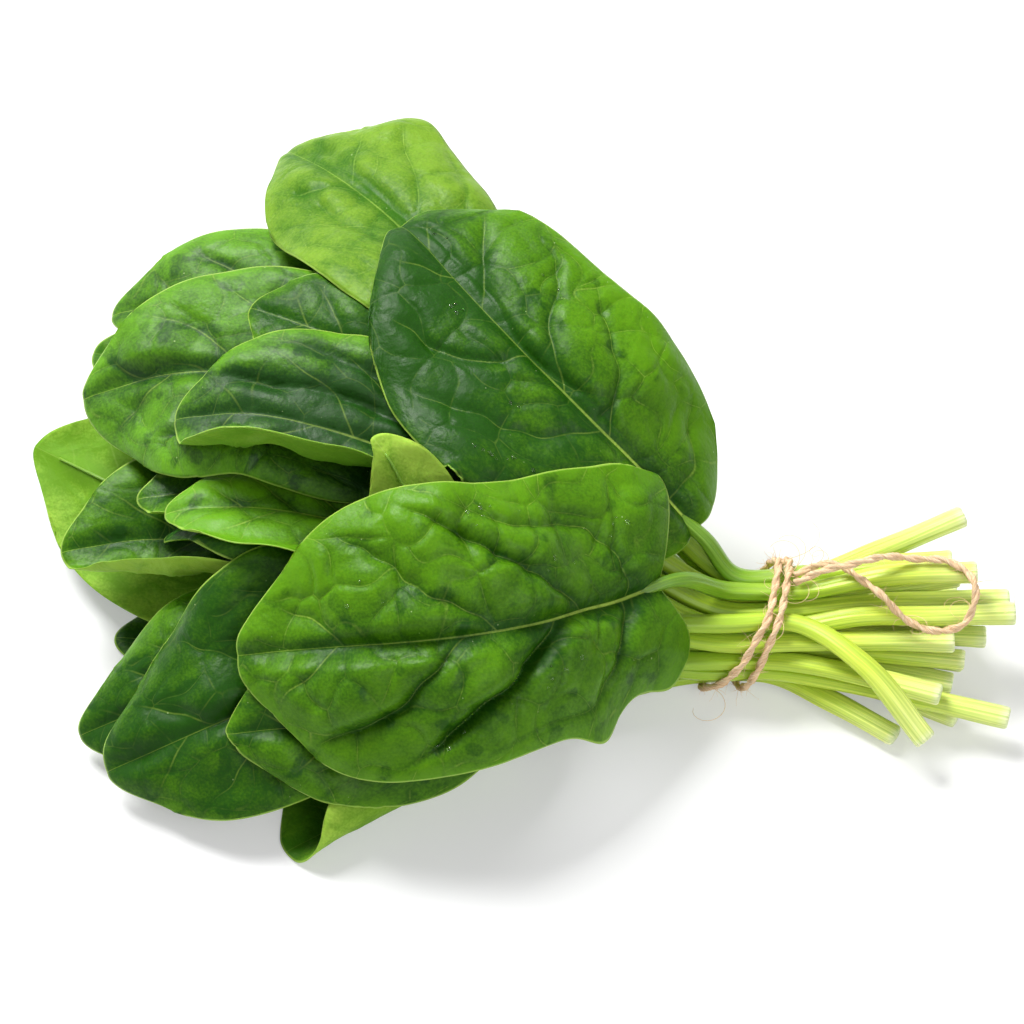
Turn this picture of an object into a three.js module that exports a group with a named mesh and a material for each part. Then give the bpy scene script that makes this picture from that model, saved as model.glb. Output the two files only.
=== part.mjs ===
// A bunch of spinach, cut and tied with jute twine, lying on a flat surface.
// Millimetres, +Z up. The cut stalk ends point to +X and the blades fan out to -X.
// Every leaf is one piece: its stalk runs from the cut end, through the tie, and becomes the midrib of its blade.
// The leaves are listed lowest first. Each is bent to its own shape, then laid on what is already there.
import * as THREE from "three";

// ---- Driving dimensions -------------------------------------------------------------------------------------
const STALK = { cut: [2.9, 2.2], tie: [2.45, 1.95], neck: [1.8, 1.6] }; // half width, half height
const BLADE_THICKNESS = 0.9;
const RIB_DEPTH = 1.6; // how far the midrib stands out under the blade at its base
const OUTLINE = [[0, 0.5], [0.13, 0.82], [0.38, 1], [0.64, 0.93], [0.85, 0.68], [1, 0.34]]; // share of half width
const TIP_BOW = 0.085; // how far the tip bulges forward, as a share of the blade's length
const COLUMNS = [-1, -0.72, -0.38, 0, 0.38, 0.72, 1]; // across the blade, front edge to back edge
const ROLLED_COLUMNS = [-1, -0.84, -0.68, -0.5, -0.27, 0, 0.38, 0.72, 1];
const BLADE_RINGS = 10;
const STALK_STEP = 22; // along a stalk, from ring to ring

const SLOT_PITCH = { across: 5.4, up: 4.5 }; // from stalk to stalk in the tie
const STALKS_IN_LAYER = [5, 6, 6, 5, 4];
const TWINE_RADIUS = 1.1;
const TWINE_GAP = 0.3; // between the twine and what it touches
const FIRST_LAYER = STALK.tie[1] + 2 * TWINE_RADIUS + 0.6; // the twine passes under the lowest stalks
const TIE_REACH = { front: 7, back: 12 }; // the stalks are straight this far each way from the tie
const FLOOR_GAP = 0.3;
const LAYER_GAP = 0.5; // clear height between a leaf and whatever it lies on

// ---- The leaves ---------------------------------------------------------------------------------------------
// slot   layer in the tie, then place in that layer counted from the front (-Y)
// end    the cut end of the stalk
// spine  points along the midrib, from the base of the blade to its tip
// width  widest measure across the flat blade
// lobe   how far the shoulders of the blade reach back past its base
// narrow makes the base of the blade this share of its usual width
// sides  shares of half the width in place of OUTLINE's, for the front half and for the back half
// roll   degrees the blade leans towards the front, at its base and at its tip
// front, back   degrees each half turns up (or, negative, down), at the base and at the tip
// curl   extra degrees of turn near the front edge and near the back edge
// lip    share of the half's width at which that extra turn begins, 0.55 unless given
// under  the blade lies with its underside up
const LEAVES = [
  { name: "leaf_floor_middle", slot: [0, 3], end: [45, 6, 4], width: 58, lobe: 4,
    spine: [[-68, 20, 6], [-105, 32, 4], [-150, 44, 1.6]],
    roll: [0, 0], front: [0, 0], back: [0, 0], curl: [0, 0] },
  { name: "leaf_floor_back", slot: [0, 4], end: [38, 16, 4], width: 60, lobe: 4,
    spine: [[-50, 42, 6], [-80, 68, 4], [-116, 102, 1.8]],
    roll: [-2, -6], front: [4, 0], back: [-4, 0], curl: [0, 0] },
  { name: "leaf_rolled", slot: [0, 0], end: [39, -30, 3.5], width: 62, lobe: 0,
    spine: [[-62, -28, 5.2], [-80, -39, 2.9], [-100, -52, 1.8], [-119, -64, 0.8]],
    roll: [10, 0], front: [250, 250], back: [20, 10], curl: [0, 0], rolled: true },
  { name: "leaf_front_floor", slot: [0, 1], end: [55, -25, 4.5], width: 52, lobe: 4,
    spine: [[-84, -8, 6], [-123, 0, 4.5], [-166, 4, 1.5]],
    roll: [4, 0], front: [0, 0], back: [0, 0], curl: [0, 0] },
  { name: "leaf_left_pale", slot: [0, 2], end: [50, -8, 4], width: 62, lobe: 3,
    spine: [[-95, 12, 16], [-125, 20, 20], [-157, 34, 20], [-189, 56, 16]],
    roll: [20, 28], front: [10, 0], back: [-10, -15], curl: [0, 0], under: true },
  { name: "leaf_front_left_back", slot: [1, 1], end: [54, -16.5, 8], width: 58, lobe: 3,
    spine: [[-80, -6, 18], [-113, -19, 25], [-144, -30, 24], [-174, -33, 8]],
    roll: [24, 34], front: [-8, -10], back: [-8, -60], curl: [0, 0] },
  { name: "leaf_back_low", slot: [1, 4], end: [52, 10, 8], width: 56, lobe: 3,
    spine: [[-90, 52, 24], [-126, 68, 26], [-175, 87, 20]],
    roll: [8, 16], front: [-6, 0], back: [-10, -10], curl: [0, 0] },
  { name: "leaf_flank_low", slot: [1, 5], end: [32, 17, 10], width: 60, lobe: 4,
    spine: [[-48, 48, 18], [-82, 86, 22], [-120, 128, 8]],
    roll: [-14, -20], front: [-10, 0], back: [-12, -10], curl: [0, 0] },
  { name: "leaf_left_cupped", slot: [1, 2], end: [57, -10, 9], width: 58, lobe: 3,
    spine: [[-98, 7, 27], [-125, 11, 29], [-154, 16, 29], [-179, 13, 27]],
    sides: [[0.5, 0.95, 1.15, 1, 0.7, 0.34], [0.5, 0.82, 1, 0.93, 0.68, 0.34]],
    roll: [14, 20], front: [10, 20], back: [5, 0], curl: [85, 0], lip: 0.25 },
  { name: "leaf_left_dark", slot: [1, 3], end: [60, 0, 8], width: 42, lobe: 2,
    spine: [[-92, 14, 28], [-122, 8, 32], [-152, 8, 30]],
    roll: [20, 30], front: [-8, 0], back: [0, 0], curl: [0, 0] },
  { name: "leaf_front_left", slot: [1, 0], end: [68, -28.5, 9], width: 58, lobe: 4,
    sides: [[0.5, 0.82, 1, 0.93, 0.75, 0.42], [0.5, 0.82, 1.05, 1.12, 0.9, 0.45]],
    spine: [[-77, -14, 22], [-107, -30, 30], [-136, -43, 28], [-166, -46, 10]],
    roll: [26, 36], front: [-10, -14], back: [-10, -60], curl: [0, 0] },
  { name: "leaf_front_low", slot: [2, 0], end: [50, -25, 13], width: 52, lobe: 0, narrow: 0.5,
    spine: [[-54, -20, 19], [-82, -36, 27], [-110, -46, 27], [-134, -48, 16]],
    roll: [28, 32], front: [-22, -22], back: [-10, -10], curl: [0, 0] },
  { name: "leaf_cup_small", slot: [2, 2], end: [63, -5, 13], width: 30, lobe: 0,
    spine: [[-110, 15, 39], [-134, 20, 42], [-159, 21, 40]],
    roll: [14, 14], front: [40, 60], back: [20, 10], curl: [50, 0] },
  { name: "leaf_mid_inner", slot: [2, 1], end: [57, -13, 13], width: 46, lobe: 2,
    spine: [[-52, -13, 23], [-75, -30, 33], [-100, -36, 36], [-121, -36, 31]],
    roll: [28, 32], front: [-12, -10], back: [-12, -10], curl: [0, 0] },
  { name: "leaf_mid_folded", slot: [3, 0], end: [54, -10.5, 17], width: 42, lobe: 2,
    spine: [[-78, 0, 35], [-100, 4, 42], [-125, 7, 46], [-151, 8, 44]],
    roll: [10, 14], front: [20, 30], back: [0, 0], curl: [60, 0] },
  { name: "leaf_back_upper", slot: [2, 4], end: [56, 8, 14], width: 54, lobe: 3,
    spine: [[-78, 56, 38], [-115, 76, 47], [-145, 85, 45], [-168, 89, 34]],
    roll: [8, 16], front: [-8, 0], back: [-12, -24], curl: [0, 0] },
  { name: "leaf_flank_upper", slot: [2, 5], end: [46, 15, 14], width: 60, lobe: 3,
    spine: [[-46, 54, 30], [-80, 96, 36], [-114, 140, 22]],
    roll: [-18, -24], front: [-14, -6], back: [-14, -12], curl: [0, 0] },
  { name: "leaf_under_top", slot: [2, 3], end: [66, 1, 14], width: 48, lobe: 0, narrow: 0.4,
    spine: [[-24, 12, 23], [-40, 20, 32], [-58, 32, 38], [-78, 44, 38]],
    roll: [6, 12], front: [-8, 0], back: [-8, 0], curl: [0, 0] },
  { name: "leaf_left_broad", slot: [3, 2], end: [69, 1.5, 17], width: 66, lobe: 4,
    sides: [[0.5, 0.82, 1.05, 1.15, 1.05, 0.62], [0.5, 0.82, 1, 0.93, 0.68, 0.34]],
    spine: [[-76, 26, 50], [-100, 35, 57], [-124, 46, 60], [-151, 52, 54], [-174, 53, 42]],
    roll: [16, 26], front: [-8, -14], back: [-14, -20], curl: [0, 0] },
  { name: "leaf_small_lobe", slot: [3, 3], end: [56, 7.5, 18], width: 44, lobe: 2,
    spine: [[-84, 36, 62], [-109, 52, 69], [-130, 64, 64]],
    roll: [12, 18], front: [-6, 0], back: [-12, -18], curl: [0, 0] },
  { name: "leaf_folded", slot: [3, 1], end: [70, -4.5, 17], width: 56, lobe: 2,
    spine: [[-68, 11, 52], [-85, 17, 60], [-106, 23, 65], [-129, 29.5, 65], [-148, 33, 58]],
    sides: [[0.3, 0.38, 0.66, 1, 0.9, 0.5], [0.5, 0.82, 1.05, 0.92, 0.66, 0.34]],
    roll: [16, 20], front: [10, 0], back: [-14, -24], curl: [95, 0], lip: 0.2, rolled: true },
  { name: "leaf_tip_pale", slot: [4, 0], end: [46, -37, 10], width: 34, lobe: 0, narrow: 0.6,
    spine: [[-58, -12, 33], [-80, -5, 44], [-96, 11, 52]],
    sides: [[0.9, 1.7, 1.75, 1.15, 0.6, 0.16], [0.4, 0.6, 0.7, 0.7, 0.6, 0.34]],
    roll: [20, 30], front: [0, 0], back: [-8, -14], curl: [0, 0], under: true },
  { name: "leaf_top_back", slot: [3, 4], end: [58, 26, 25], width: 61, lobe: 2,
    sides: [[0.5, 0.82, 1, 0.95, 0.76, 0.36], [0.45, 0.64, 0.86, 0.94, 1.04, 0.3]],
    spine: [[-59, 58, 56], [-74, 72, 64], [-86, 86, 67], [-97, 100, 66], [-109, 114, 63], [-119, 128, 54]],
    roll: [-2, 6], front: [-14, -20], back: [-34, -10], curl: [0, 0] },
  { name: "leaf_top_right", slot: [4, 3], end: [54, 9, 23], width: 71, lobe: 2, narrow: 0.7,
    spine: [[-11, 12, 33], [-22, 18, 48], [-36, 24, 62], [-52, 37, 71], [-68, 55, 75], [-80, 71, 74],
      [-90, 85, 70]],
    sides: [[0.5, 0.95, 1.16, 1.14, 0.84, 0.3], [0.6, 1, 1.08, 0.9, 0.82, 0.55]],
    roll: [8, 12], front: [-16, -16], back: [-18, -24], curl: [0, 0] },
  { name: "leaf_top_front", slot: [4, 2], end: [60, 3, 22], width: 77, lobe: 13,
    sides: [[0.45, 0.6, 0.83, 0.95, 0.95, 0.55], [0.62, 0.82, 1, 1.06, 0.88, 0.42]],
    spine: [[-20, -5.5, 33], [-36, -18, 45], [-54, -32, 55], [-72, -39, 59], [-92, -40, 57], [-112, -37, 51],
      [-130, -34, 44]],
    roll: [42, 40], front: [-25, -20], back: [-25, -20], curl: [0, 0] },
];

const point = (x, y, z) => new THREE.Vector3(x, y, z);
const lerp = THREE.MathUtils.lerp;
const radians = THREE.MathUtils.degToRad;
const UP = point(0, 0, 1);

// The tie is not square across the stalks: it leans towards the cut ends at the top and the back.
const tieX = (y, z) => 4.5 + 0.17 * y + 0.33 * (z - 14);

function slotCentre([layer, place]) {
  const y = (place - (STALKS_IN_LAYER[layer] - 1) / 2) * SLOT_PITCH.across;
  const z = FIRST_LAYER + layer * SLOT_PITCH.up;
  return point(tieX(y, z), y, z);
}

function fromTable(table, s) {
  const i = Math.max(1, table.findIndex(([at]) => at >= s));
  const [s0, v0] = table[i - 1];
  const [s1, v1] = table[i];
  return lerp(v0, v1, (s - s0) / (s1 - s0));
}

// ---- One leaf: rings of points from the cut end to the tip --------------------------------------------------
function leafRings(leaf) {
  const slot = slotCentre(leaf.slot);
  const spine = leaf.spine.map((p) => point(...p));
  const line = new THREE.CatmullRomCurve3(
    [
      point(...leaf.end),
      slot.clone().add(point(TIE_REACH.front, 0, 0)),
      slot.clone().sub(point(TIE_REACH.back, 0, 0)),
      ...spine,
    ],
    false,
    "centripetal",
  );
  const baseAt = 3 / (line.points.length - 1);
  const columns = leaf.rolled ? ROLLED_COLUMNS : COLUMNS;
  const halfWidth = leaf.width / 2;

  // Side, normal and direction of the leaf at a place on its line, leaning by `roll` degrees.
  const frameAt = (t, roll) => {
    const ahead = line.getTangent(t).normalize();
    const side = ahead.clone().cross(UP).normalize();
    const normal = side.clone().cross(ahead).normalize();
    const r = radians(roll);
    return {
      ahead,
      side: side.clone().multiplyScalar(Math.cos(r)).addScaledVector(normal, Math.sin(r)),
      normal: normal.clone().multiplyScalar(Math.cos(r)).addScaledVector(side, -Math.sin(r)),
    };
  };

  const rings = [];
  const stalkRing = (t, [width, height], roll) => {
    const centre = line.getPoint(t);
    const { side, normal } = frameAt(t, roll);
    const at = (v, up) => {
      const bend = (v * Math.PI) / 2;
      return centre
        .clone()
        .addScaledVector(side, width * Math.sin(bend))
        .addScaledVector(normal, up * height * Math.max(Math.cos(bend), 0.3));
    };
    rings.push([...columns.map((v) => at(v, 1)), ...columns.toReversed().map((v) => at(v, -1))]);
  };
  const ringsBetween = (a, b) =>
    Math.max(1, Math.round(line.points[a].distanceTo(line.points[b]) / STALK_STEP));
  const tailRings = ringsBetween(0, 1);
  for (let i = 0; i < tailRings; i++) {
    const size = [0, 1].map((k) => lerp(STALK.cut[k], STALK.tie[k], i / tailRings));
    stalkRing(lerp(0, baseAt / 3, i / tailRings), size, 0);
  }
  const firstHeld = rings.length;
  stalkRing(baseAt / 3, STALK.tie, 0);
  stalkRing((baseAt * 2) / 3, STALK.tie, 0);
  const neckRings = ringsBetween(2, 3);
  for (let i = 1; i <= neckRings; i++) {
    const s = i / neckRings;
    const size = [0, 1].map((k) => lerp(STALK.tie[k], STALK.neck[k], s));
    stalkRing(lerp((baseAt * 2) / 3, baseAt, s), size, leaf.roll[0] * s * s);
  }
  const stalkRings = rings.length;

  // Distance along the midrib, so that a place on the flat blade can be found on the bent one.
  const steps = 60;
  const distance = [0];
  for (let i = 1; i <= steps; i++) {
    const a = line.getPoint(lerp(baseAt, 1, (i - 1) / steps));
    const b = line.getPoint(lerp(baseAt, 1, i / steps));
    distance.push(distance[i - 1] + a.distanceTo(b));
  }
  const length = distance[steps];
  const timeAt = (a) => {
    const i = Math.max(1, distance.findIndex((d) => d >= a));
    return lerp(baseAt, 1, (i - 1 + (a - distance[i - 1]) / (distance[i] - distance[i - 1])) / steps);
  };
  const onMidrib = (a) => {
    const inside = Math.min(Math.max(a, 0), length * 0.9999);
    const t = timeAt(inside);
    const frame = frameAt(t, lerp(...leaf.roll, inside / length));
    return { ...frame, at: line.getPoint(t).addScaledVector(frame.ahead, a - inside) };
  };

  // Each half of the blade bends evenly across, and its outer part can curl further.
  const across = (v, s) => {
    const waist = 1 - (1 - (leaf.narrow ?? 1)) * (1 - s) ** 5;
    const shares = leaf.sides?.[v < 0 ? 0 : 1];
    const outline = shares ? OUTLINE.map(([at], i) => [at, shares[i]]) : OUTLINE;
    const reach = Math.abs(v) * halfWidth * waist * fromTable(outline, s);
    const [turns, curl] = v < 0 ? [leaf.front, leaf.curl[0]] : [leaf.back, leaf.curl[1]];
    const rate = radians(lerp(...turns, s)) / halfWidth;
    const parts = 24;
    let out = 0;
    let up = 0;
    let angle = 0;
    for (let i = 0; i < parts; i++) {
      const share = (Math.abs(v) * (i + 0.5)) / parts;
      const lip = Math.min(Math.max((share - (leaf.lip ?? 0.55)) / 0.4, 0), 1);
      angle = (rate * reach * (i + 0.5)) / parts + radians(curl) * lip * lip * (3 - 2 * lip);
      out += (Math.cos(angle) * reach) / parts;
      up += (Math.sin(angle) * reach) / parts;
    }
    const sign = Math.sign(v) || 1;
    return { out: sign * out, up, tilt: sign * angle };
  };

  for (let i = 0; i < BLADE_RINGS; i++) {
    const s = i / (BLADE_RINGS - 1);
    const rib = RIB_DEPTH * (1 - s) ** 0.8;
    const halves = columns.map((v) => {
      const sweep = (leaf.lobe + 3) * (1 - s) ** 3 * Math.abs(v) ** 1.6;
      const a = 3 + s * (length - 3) - sweep - TIP_BOW * length * s ** 4 * v * v;
      const { at, side, normal } = onMidrib(a);
      const { out, up, tilt } = across(v, s);
      const middle = at.clone().addScaledVector(side, out).addScaledVector(normal, up);
      const face = normal.clone().multiplyScalar(Math.cos(tilt)).addScaledVector(side, -Math.sin(tilt));
      const extra = v === 0 ? rib : 0;
      return {
        top: middle.clone().addScaledVector(face, BLADE_THICKNESS / 2 + (leaf.under ? extra : 0)),
        bottom: middle.clone().addScaledVector(face, -BLADE_THICKNESS / 2 - (leaf.under ? 0 : extra)),
      };
    });
    rings.push([...halves.map((h) => h.top), ...halves.toReversed().map((h) => h.bottom)]);
  }
  return { rings, stalkRings, firstHeld };
}

// A closed skin over the rings: a fan at the cut end and a narrow strip along the tip.
function skin({ rings, stalkRings, firstHeld }) {
  const around = rings[0].length;
  const points = rings.flat();
  const triangles = [];
  for (let r = 0; r + 1 < rings.length; r++) {
    for (let k = 0; k < around; k++) {
      const next = (k + 1) % around;
      const [a, b] = [r * around + k, r * around + next];
      const [c, d] = [a + around, b + around];
      triangles.push([a, b, d], [a, d, c]);
    }
  }
  const stalkTriangles = 2 * around * stalkRings;
  const last = (rings.length - 1) * around;
  for (let k = 0; k + 1 < around / 2; k++) {
    const [top, topNext] = [last + k, last + k + 1];
    const [low, lowNext] = [last + around - 1 - k, last + around - 2 - k];
    triangles.push([top, topNext, lowNext], [top, lowNext, low]);
  }
  const centre = rings[0].reduce((sum, p) => sum.add(p), point(0, 0, 0)).divideScalar(around);
  points.push(centre);
  for (let k = 0; k < around; k++) triangles.push([points.length - 1, (k + 1) % around, k]);
  const held = rings.slice(firstHeld, firstHeld + 2).flat();
  const isBlade = (i) => i >= stalkRings * around && i < rings.length * around;
  return { points, triangles, stalkTriangles, isBlade, held };
}

// ---- Laying the leaves down: a map of how high the heap already stands --------------------------------------
const CELL = 0.5;
const MAP = { x: -215, y: -105, nx: 620, ny: 560 };
const blankMap = (value) => new Float32Array(MAP.nx * MAP.ny).fill(value);
const cellOf = (x, y) => {
  const i = Math.min(Math.max(Math.floor((x - MAP.x) / CELL), 0), MAP.nx - 1);
  const j = Math.min(Math.max(Math.floor((y - MAP.y) / CELL), 0), MAP.ny - 1);
  return j * MAP.nx + i;
};

function cover(points, triangles, visit) {
  for (const [ia, ib, ic] of triangles) {
    const [a, b, c] = [points[ia], points[ib], points[ic]];
    const n = Math.ceil(Math.max(a.distanceTo(b), b.distanceTo(c), c.distanceTo(a)) / (CELL * 0.9)) + 1;
    for (let i = 0; i <= n; i++) {
      for (let j = 0; j <= n - i; j++) {
        const [u, w] = [i / n, j / n];
        const x = a.x + u * (b.x - a.x) + w * (c.x - a.x);
        const y = a.y + u * (b.y - a.y) + w * (c.y - a.y);
        const z = a.z + u * (b.z - a.z) + w * (c.z - a.z);
        visit(cellOf(x, y), z);
      }
    }
  }
}

// Running maximum or mean over `reach` cells each way, first along one direction and then along the other.
function spread(map, reach, combine) {
  let source = map;
  for (const [step, count, stride, lines] of [[1, MAP.nx, MAP.nx, MAP.ny], [MAP.nx, MAP.ny, 1, MAP.nx]]) {
    const result = blankMap(0);
    for (let line = 0; line < lines; line++) {
      const start = line * stride;
      combine(source, result, start, step, count, reach);
    }
    source = result;
  }
  return source;
}
function runningMax(source, result, start, step, count, reach) {
  for (let i = 0; i < count; i++) {
    let best = 0;
    for (let k = Math.max(0, i - reach); k <= Math.min(count - 1, i + reach); k++) {
      best = Math.max(best, source[start + k * step]);
    }
    result[start + i * step] = best;
  }
}
function runningMean(source, result, start, step, count, reach) {
  let sum = 0;
  for (let i = -reach; i < count; i++) {
    if (i + reach < count) sum += source[start + (i + reach) * step];
    if (i - reach - 1 >= 0) sum -= source[start + (i - reach - 1) * step];
    if (i >= 0) result[start + i * step] = sum / (2 * reach + 1);
  }
}

// The stalks stay put where the twine holds them.
function looseness(p) {
  const x = p.x - tieX(p.y, Math.min(p.z, 26));
  const out = Math.max(x - TIE_REACH.front, -x - TIE_REACH.back, 0);
  return Math.min(out / 8, 1);
}

const heap = { blades: blankMap(0), stalks: STALKS_IN_LAYER.map(() => blankMap(0)) };

function layDown(leaf, body) {
  const { points, triangles, stalkTriangles, isBlade } = body;
  const stalk = triangles.slice(0, stalkTriangles);
  const blade = triangles.slice(stalkTriangles);
  const below = blankMap(0);
  const otherLayers = blankMap(0);
  for (let i = 0; i < below.length; i++) {
    below[i] = otherLayers[i] = heap.blades[i];
    heap.stalks.forEach((map, layer) => {
      below[i] = Math.max(below[i], map[i]);
      if (layer !== leaf.slot[0]) otherLayers[i] = Math.max(otherLayers[i], map[i]);
    });
  }
  // Stalks of one layer lie side by side, so only the other layers need room to spare.
  const underBlade = spread(below, 2, runningMax);
  const sameLayer = heap.stalks[leaf.slot[0]];
  const underStalk = spread(otherLayers, 1, runningMax).map((z, i) => Math.max(z, sameLayer[i]));
  const floors = [[blade, underBlade], [stalk, underStalk]];
  for (let round = 0; round < 14; round++) {
    const short = blankMap(0);
    let worst = 0;
    for (const [part, floor] of floors) {
      cover(points, part, (cell, z) => {
        const need = (floor[cell] > 0 ? floor[cell] + LAYER_GAP : FLOOR_GAP) - z;
        if (need > short[cell]) short[cell] = need;
      });
    }
    for (const value of short) worst = Math.max(worst, value);
    if (worst < 0.02) break;
    const reach = round < 4 ? 14 : 6;
    const lift = spread(spread(short, reach, runningMax), reach, runningMean);
    const tailLift = spread(short, STALK_STEP, runningMax); // a loose end is stiff, so it rises as a whole
    points.forEach((p, i) => {
      const map = p.x > tieX(p.y, p.z) + TIE_REACH.front ? tailLift : lift;
      p.z += map[cellOf(p.x, p.y)] * (isBlade(i) ? 1 : looseness(p));
    });
  }
  cover(points, blade, (cell, z) => {
    heap.blades[cell] = Math.max(heap.blades[cell], z);
  });
  const own = heap.stalks[leaf.slot[0]];
  cover(points, stalk, (cell, z) => {
    own[cell] = Math.max(own[cell], z);
  });
}

function solid(name, points, triangles, colour) {
  const geometry = new THREE.BufferGeometry();
  geometry.setAttribute("position", new THREE.Float32BufferAttribute(points.flatMap((p) => p.toArray()), 3));
  let volume = 0;
  for (const [a, b, c] of triangles) volume += points[a].dot(points[b].clone().cross(points[c]));
  const outward = volume > 0 ? triangles : triangles.map(([a, b, c]) => [a, c, b]);
  geometry.setIndex(outward.flat());
  geometry.computeVertexNormals();
  const mesh = new THREE.Mesh(geometry, new THREE.MeshStandardMaterial({ color: colour, roughness: 0.5 }));
  mesh.name = name;
  return mesh;
}

const bunch = new THREE.Group();
bunch.name = "spinach_bunch";
const heldPoints = []; // the stalks' corners where the twine goes round them
for (const leaf of LEAVES) {
  const body = skin(leafRings(leaf));
  layDown(leaf, body);
  heldPoints.push(...body.held);
  bunch.add(solid(leaf.name, body.points, body.triangles, leaf.under ? 0x8fbf4d : 0x2f7a22));
}

// ---- The twine ----------------------------------------------------------------------------------------------
// Outline of the held stalks, seen along +X, with straight runs between the outermost corners.
function hullAround(points) {
  const sorted = points.map((p) => [p.y, p.z]).sort((p, q) => p[0] - q[0] || p[1] - q[1]);
  const turn = (o, a, b) => (a[0] - o[0]) * (b[1] - o[1]) - (a[1] - o[1]) * (b[0] - o[0]);
  const half = (list) => {
    const chain = [];
    for (const p of list) {
      while (chain.length > 1 && turn(chain.at(-2), chain.at(-1), p) <= 0) chain.pop();
      chain.push(p);
    }
    return chain.slice(0, -1);
  };
  return [...half(sorted), ...half(sorted.toReversed())];
}

const hull = hullAround(heldPoints);
const standOff = TWINE_RADIUS + TWINE_GAP;
// Where a taut line at this angle around the stalks (0 is the back, 90 the top) lies in Y and Z.
function aroundHull(angle, off) {
  const n = [Math.cos(radians(angle)), Math.sin(radians(angle))];
  const spreadOf = 9; // degrees over which a corner is rounded
  let [y, z, weight] = [0, 0, 0];
  for (let d = -spreadOf; d <= spreadOf; d += 1.5) {
    const m = [Math.cos(radians(angle + d)), Math.sin(radians(angle + d))];
    const best = hull.reduce((p, q) => (q[0] * m[0] + q[1] * m[1] > p[0] * m[0] + p[1] * m[1] ? q : p));
    y += best[0];
    z += best[1];
    weight += 1;
  }
  const reach = Math.max(...hull.map((p) => p[0] * n[0] + p[1] * n[1]));
  const middle = [y / weight, z / weight];
  const lack = reach - (middle[0] * n[0] + middle[1] * n[1]);
  return [middle[0] + n[0] * (lack + off), middle[1] + n[1] * (lack + off)];
}

// Sideways place of the band on its way round twice: the turns part at the lower front.
const BAND_SHIFT = [
  [-90, 2], [0, 1.6], [90, 1.5], [180, 0.8], [225, 0], [270, -1.5], [360, -1.5],
  [450, -1.4], [495, -2.2], [540, -5.5], [585, -10.5], [630, -9],
];
function tube(name, path, steps, colour) {
  const section = new THREE.Shape(
    Array.from({ length: 8 }, (_, i) => {
      const a = ((i + 0.5) * Math.PI) / 4;
      return new THREE.Vector2(TWINE_RADIUS * Math.cos(a), TWINE_RADIUS * Math.sin(a));
    }),
  );
  const geometry = new THREE.ExtrudeGeometry(section, { steps, bevelEnabled: false, extrudePath: path });
  const mesh = new THREE.Mesh(geometry, new THREE.MeshStandardMaterial({ color: colour, roughness: 0.9 }));
  mesh.name = name;
  return mesh;
}
const bandPoints = [];
for (let angle = -84; angle <= 624; angle += 12) {
  const [y, z] = aroundHull(angle, standOff);
  bandPoints.push(point(tieX(y, z) + fromTable(BAND_SHIFT, angle), y, z));
}
bunch.add(tube("twine_band", new THREE.CatmullRomCurve3(bandPoints), 80, 0xd9b48a));

// The free end: a loop lying on the stalks on the cut side of the tie.
const LOOP = [
  [12.4, 4.2], [20, 6.2], [25, 4.6], [29, 0.8], [34.5, -4.6], [41, -9.2], [48.5, -12], [56, -11],
  [59, -5.5], [57, 0.5], [51.5, 4.3], [44, 5], [35.5, 4], [27, 1.8], [20, 1.6], [12.6, 1.1],
];
const heapTop = blankMap(0);
for (let i = 0; i < heapTop.length; i++) {
  heapTop[i] = Math.max(heap.blades[i], ...heap.stalks.map((map) => map[i]));
}
const underLoop = spread(heapTop, 3, runningMax);
const loopHeights = LOOP.map(([x, y]) => underLoop[cellOf(x, y)] + standOff);
const loopPoints = LOOP.map(([x, y], i) => {
  const near = loopHeights.slice(Math.max(0, i - 1), i + 2);
  return point(x, y, Math.max(...near));
});
for (const i of [12, 13, 14]) loopPoints[i].z += 2 * TWINE_RADIUS + 0.5; // here the loop crosses over itself
bunch.add(tube("twine_loop", new THREE.CatmullRomCurve3(loopPoints), 64, 0xd9b48a));

// The bottom centre of the whole bunch becomes the origin.
const box = new THREE.Box3().setFromObject(bunch);
const middle = box.getCenter(point(0, 0, 0));
for (const mesh of bunch.children) mesh.geometry.translate(-middle.x, -middle.y, -box.min.z);

export default bunch;
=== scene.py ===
"""A bunch of spinach tied with jute twine, lying on a pale surface."""

import heapq
import math
import random

import bpy
import numpy as np
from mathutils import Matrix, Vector


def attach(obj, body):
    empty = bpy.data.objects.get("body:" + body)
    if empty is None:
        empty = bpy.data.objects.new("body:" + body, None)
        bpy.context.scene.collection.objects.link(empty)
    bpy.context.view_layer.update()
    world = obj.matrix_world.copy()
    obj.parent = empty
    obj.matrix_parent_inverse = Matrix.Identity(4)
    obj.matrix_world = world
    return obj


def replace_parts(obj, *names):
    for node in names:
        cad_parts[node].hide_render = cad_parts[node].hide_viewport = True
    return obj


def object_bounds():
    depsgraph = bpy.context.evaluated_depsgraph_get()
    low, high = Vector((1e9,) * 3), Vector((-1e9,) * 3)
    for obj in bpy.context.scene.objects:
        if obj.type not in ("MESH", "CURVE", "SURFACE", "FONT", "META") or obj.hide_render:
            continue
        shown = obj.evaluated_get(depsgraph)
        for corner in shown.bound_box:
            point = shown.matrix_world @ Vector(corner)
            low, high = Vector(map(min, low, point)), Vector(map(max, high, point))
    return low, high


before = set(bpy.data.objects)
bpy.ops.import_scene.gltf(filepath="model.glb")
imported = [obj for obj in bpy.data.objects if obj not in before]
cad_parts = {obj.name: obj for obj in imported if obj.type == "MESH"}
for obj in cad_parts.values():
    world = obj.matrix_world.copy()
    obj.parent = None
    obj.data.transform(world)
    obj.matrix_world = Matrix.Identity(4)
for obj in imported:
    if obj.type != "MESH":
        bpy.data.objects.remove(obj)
cad_low, cad_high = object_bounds()

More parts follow.
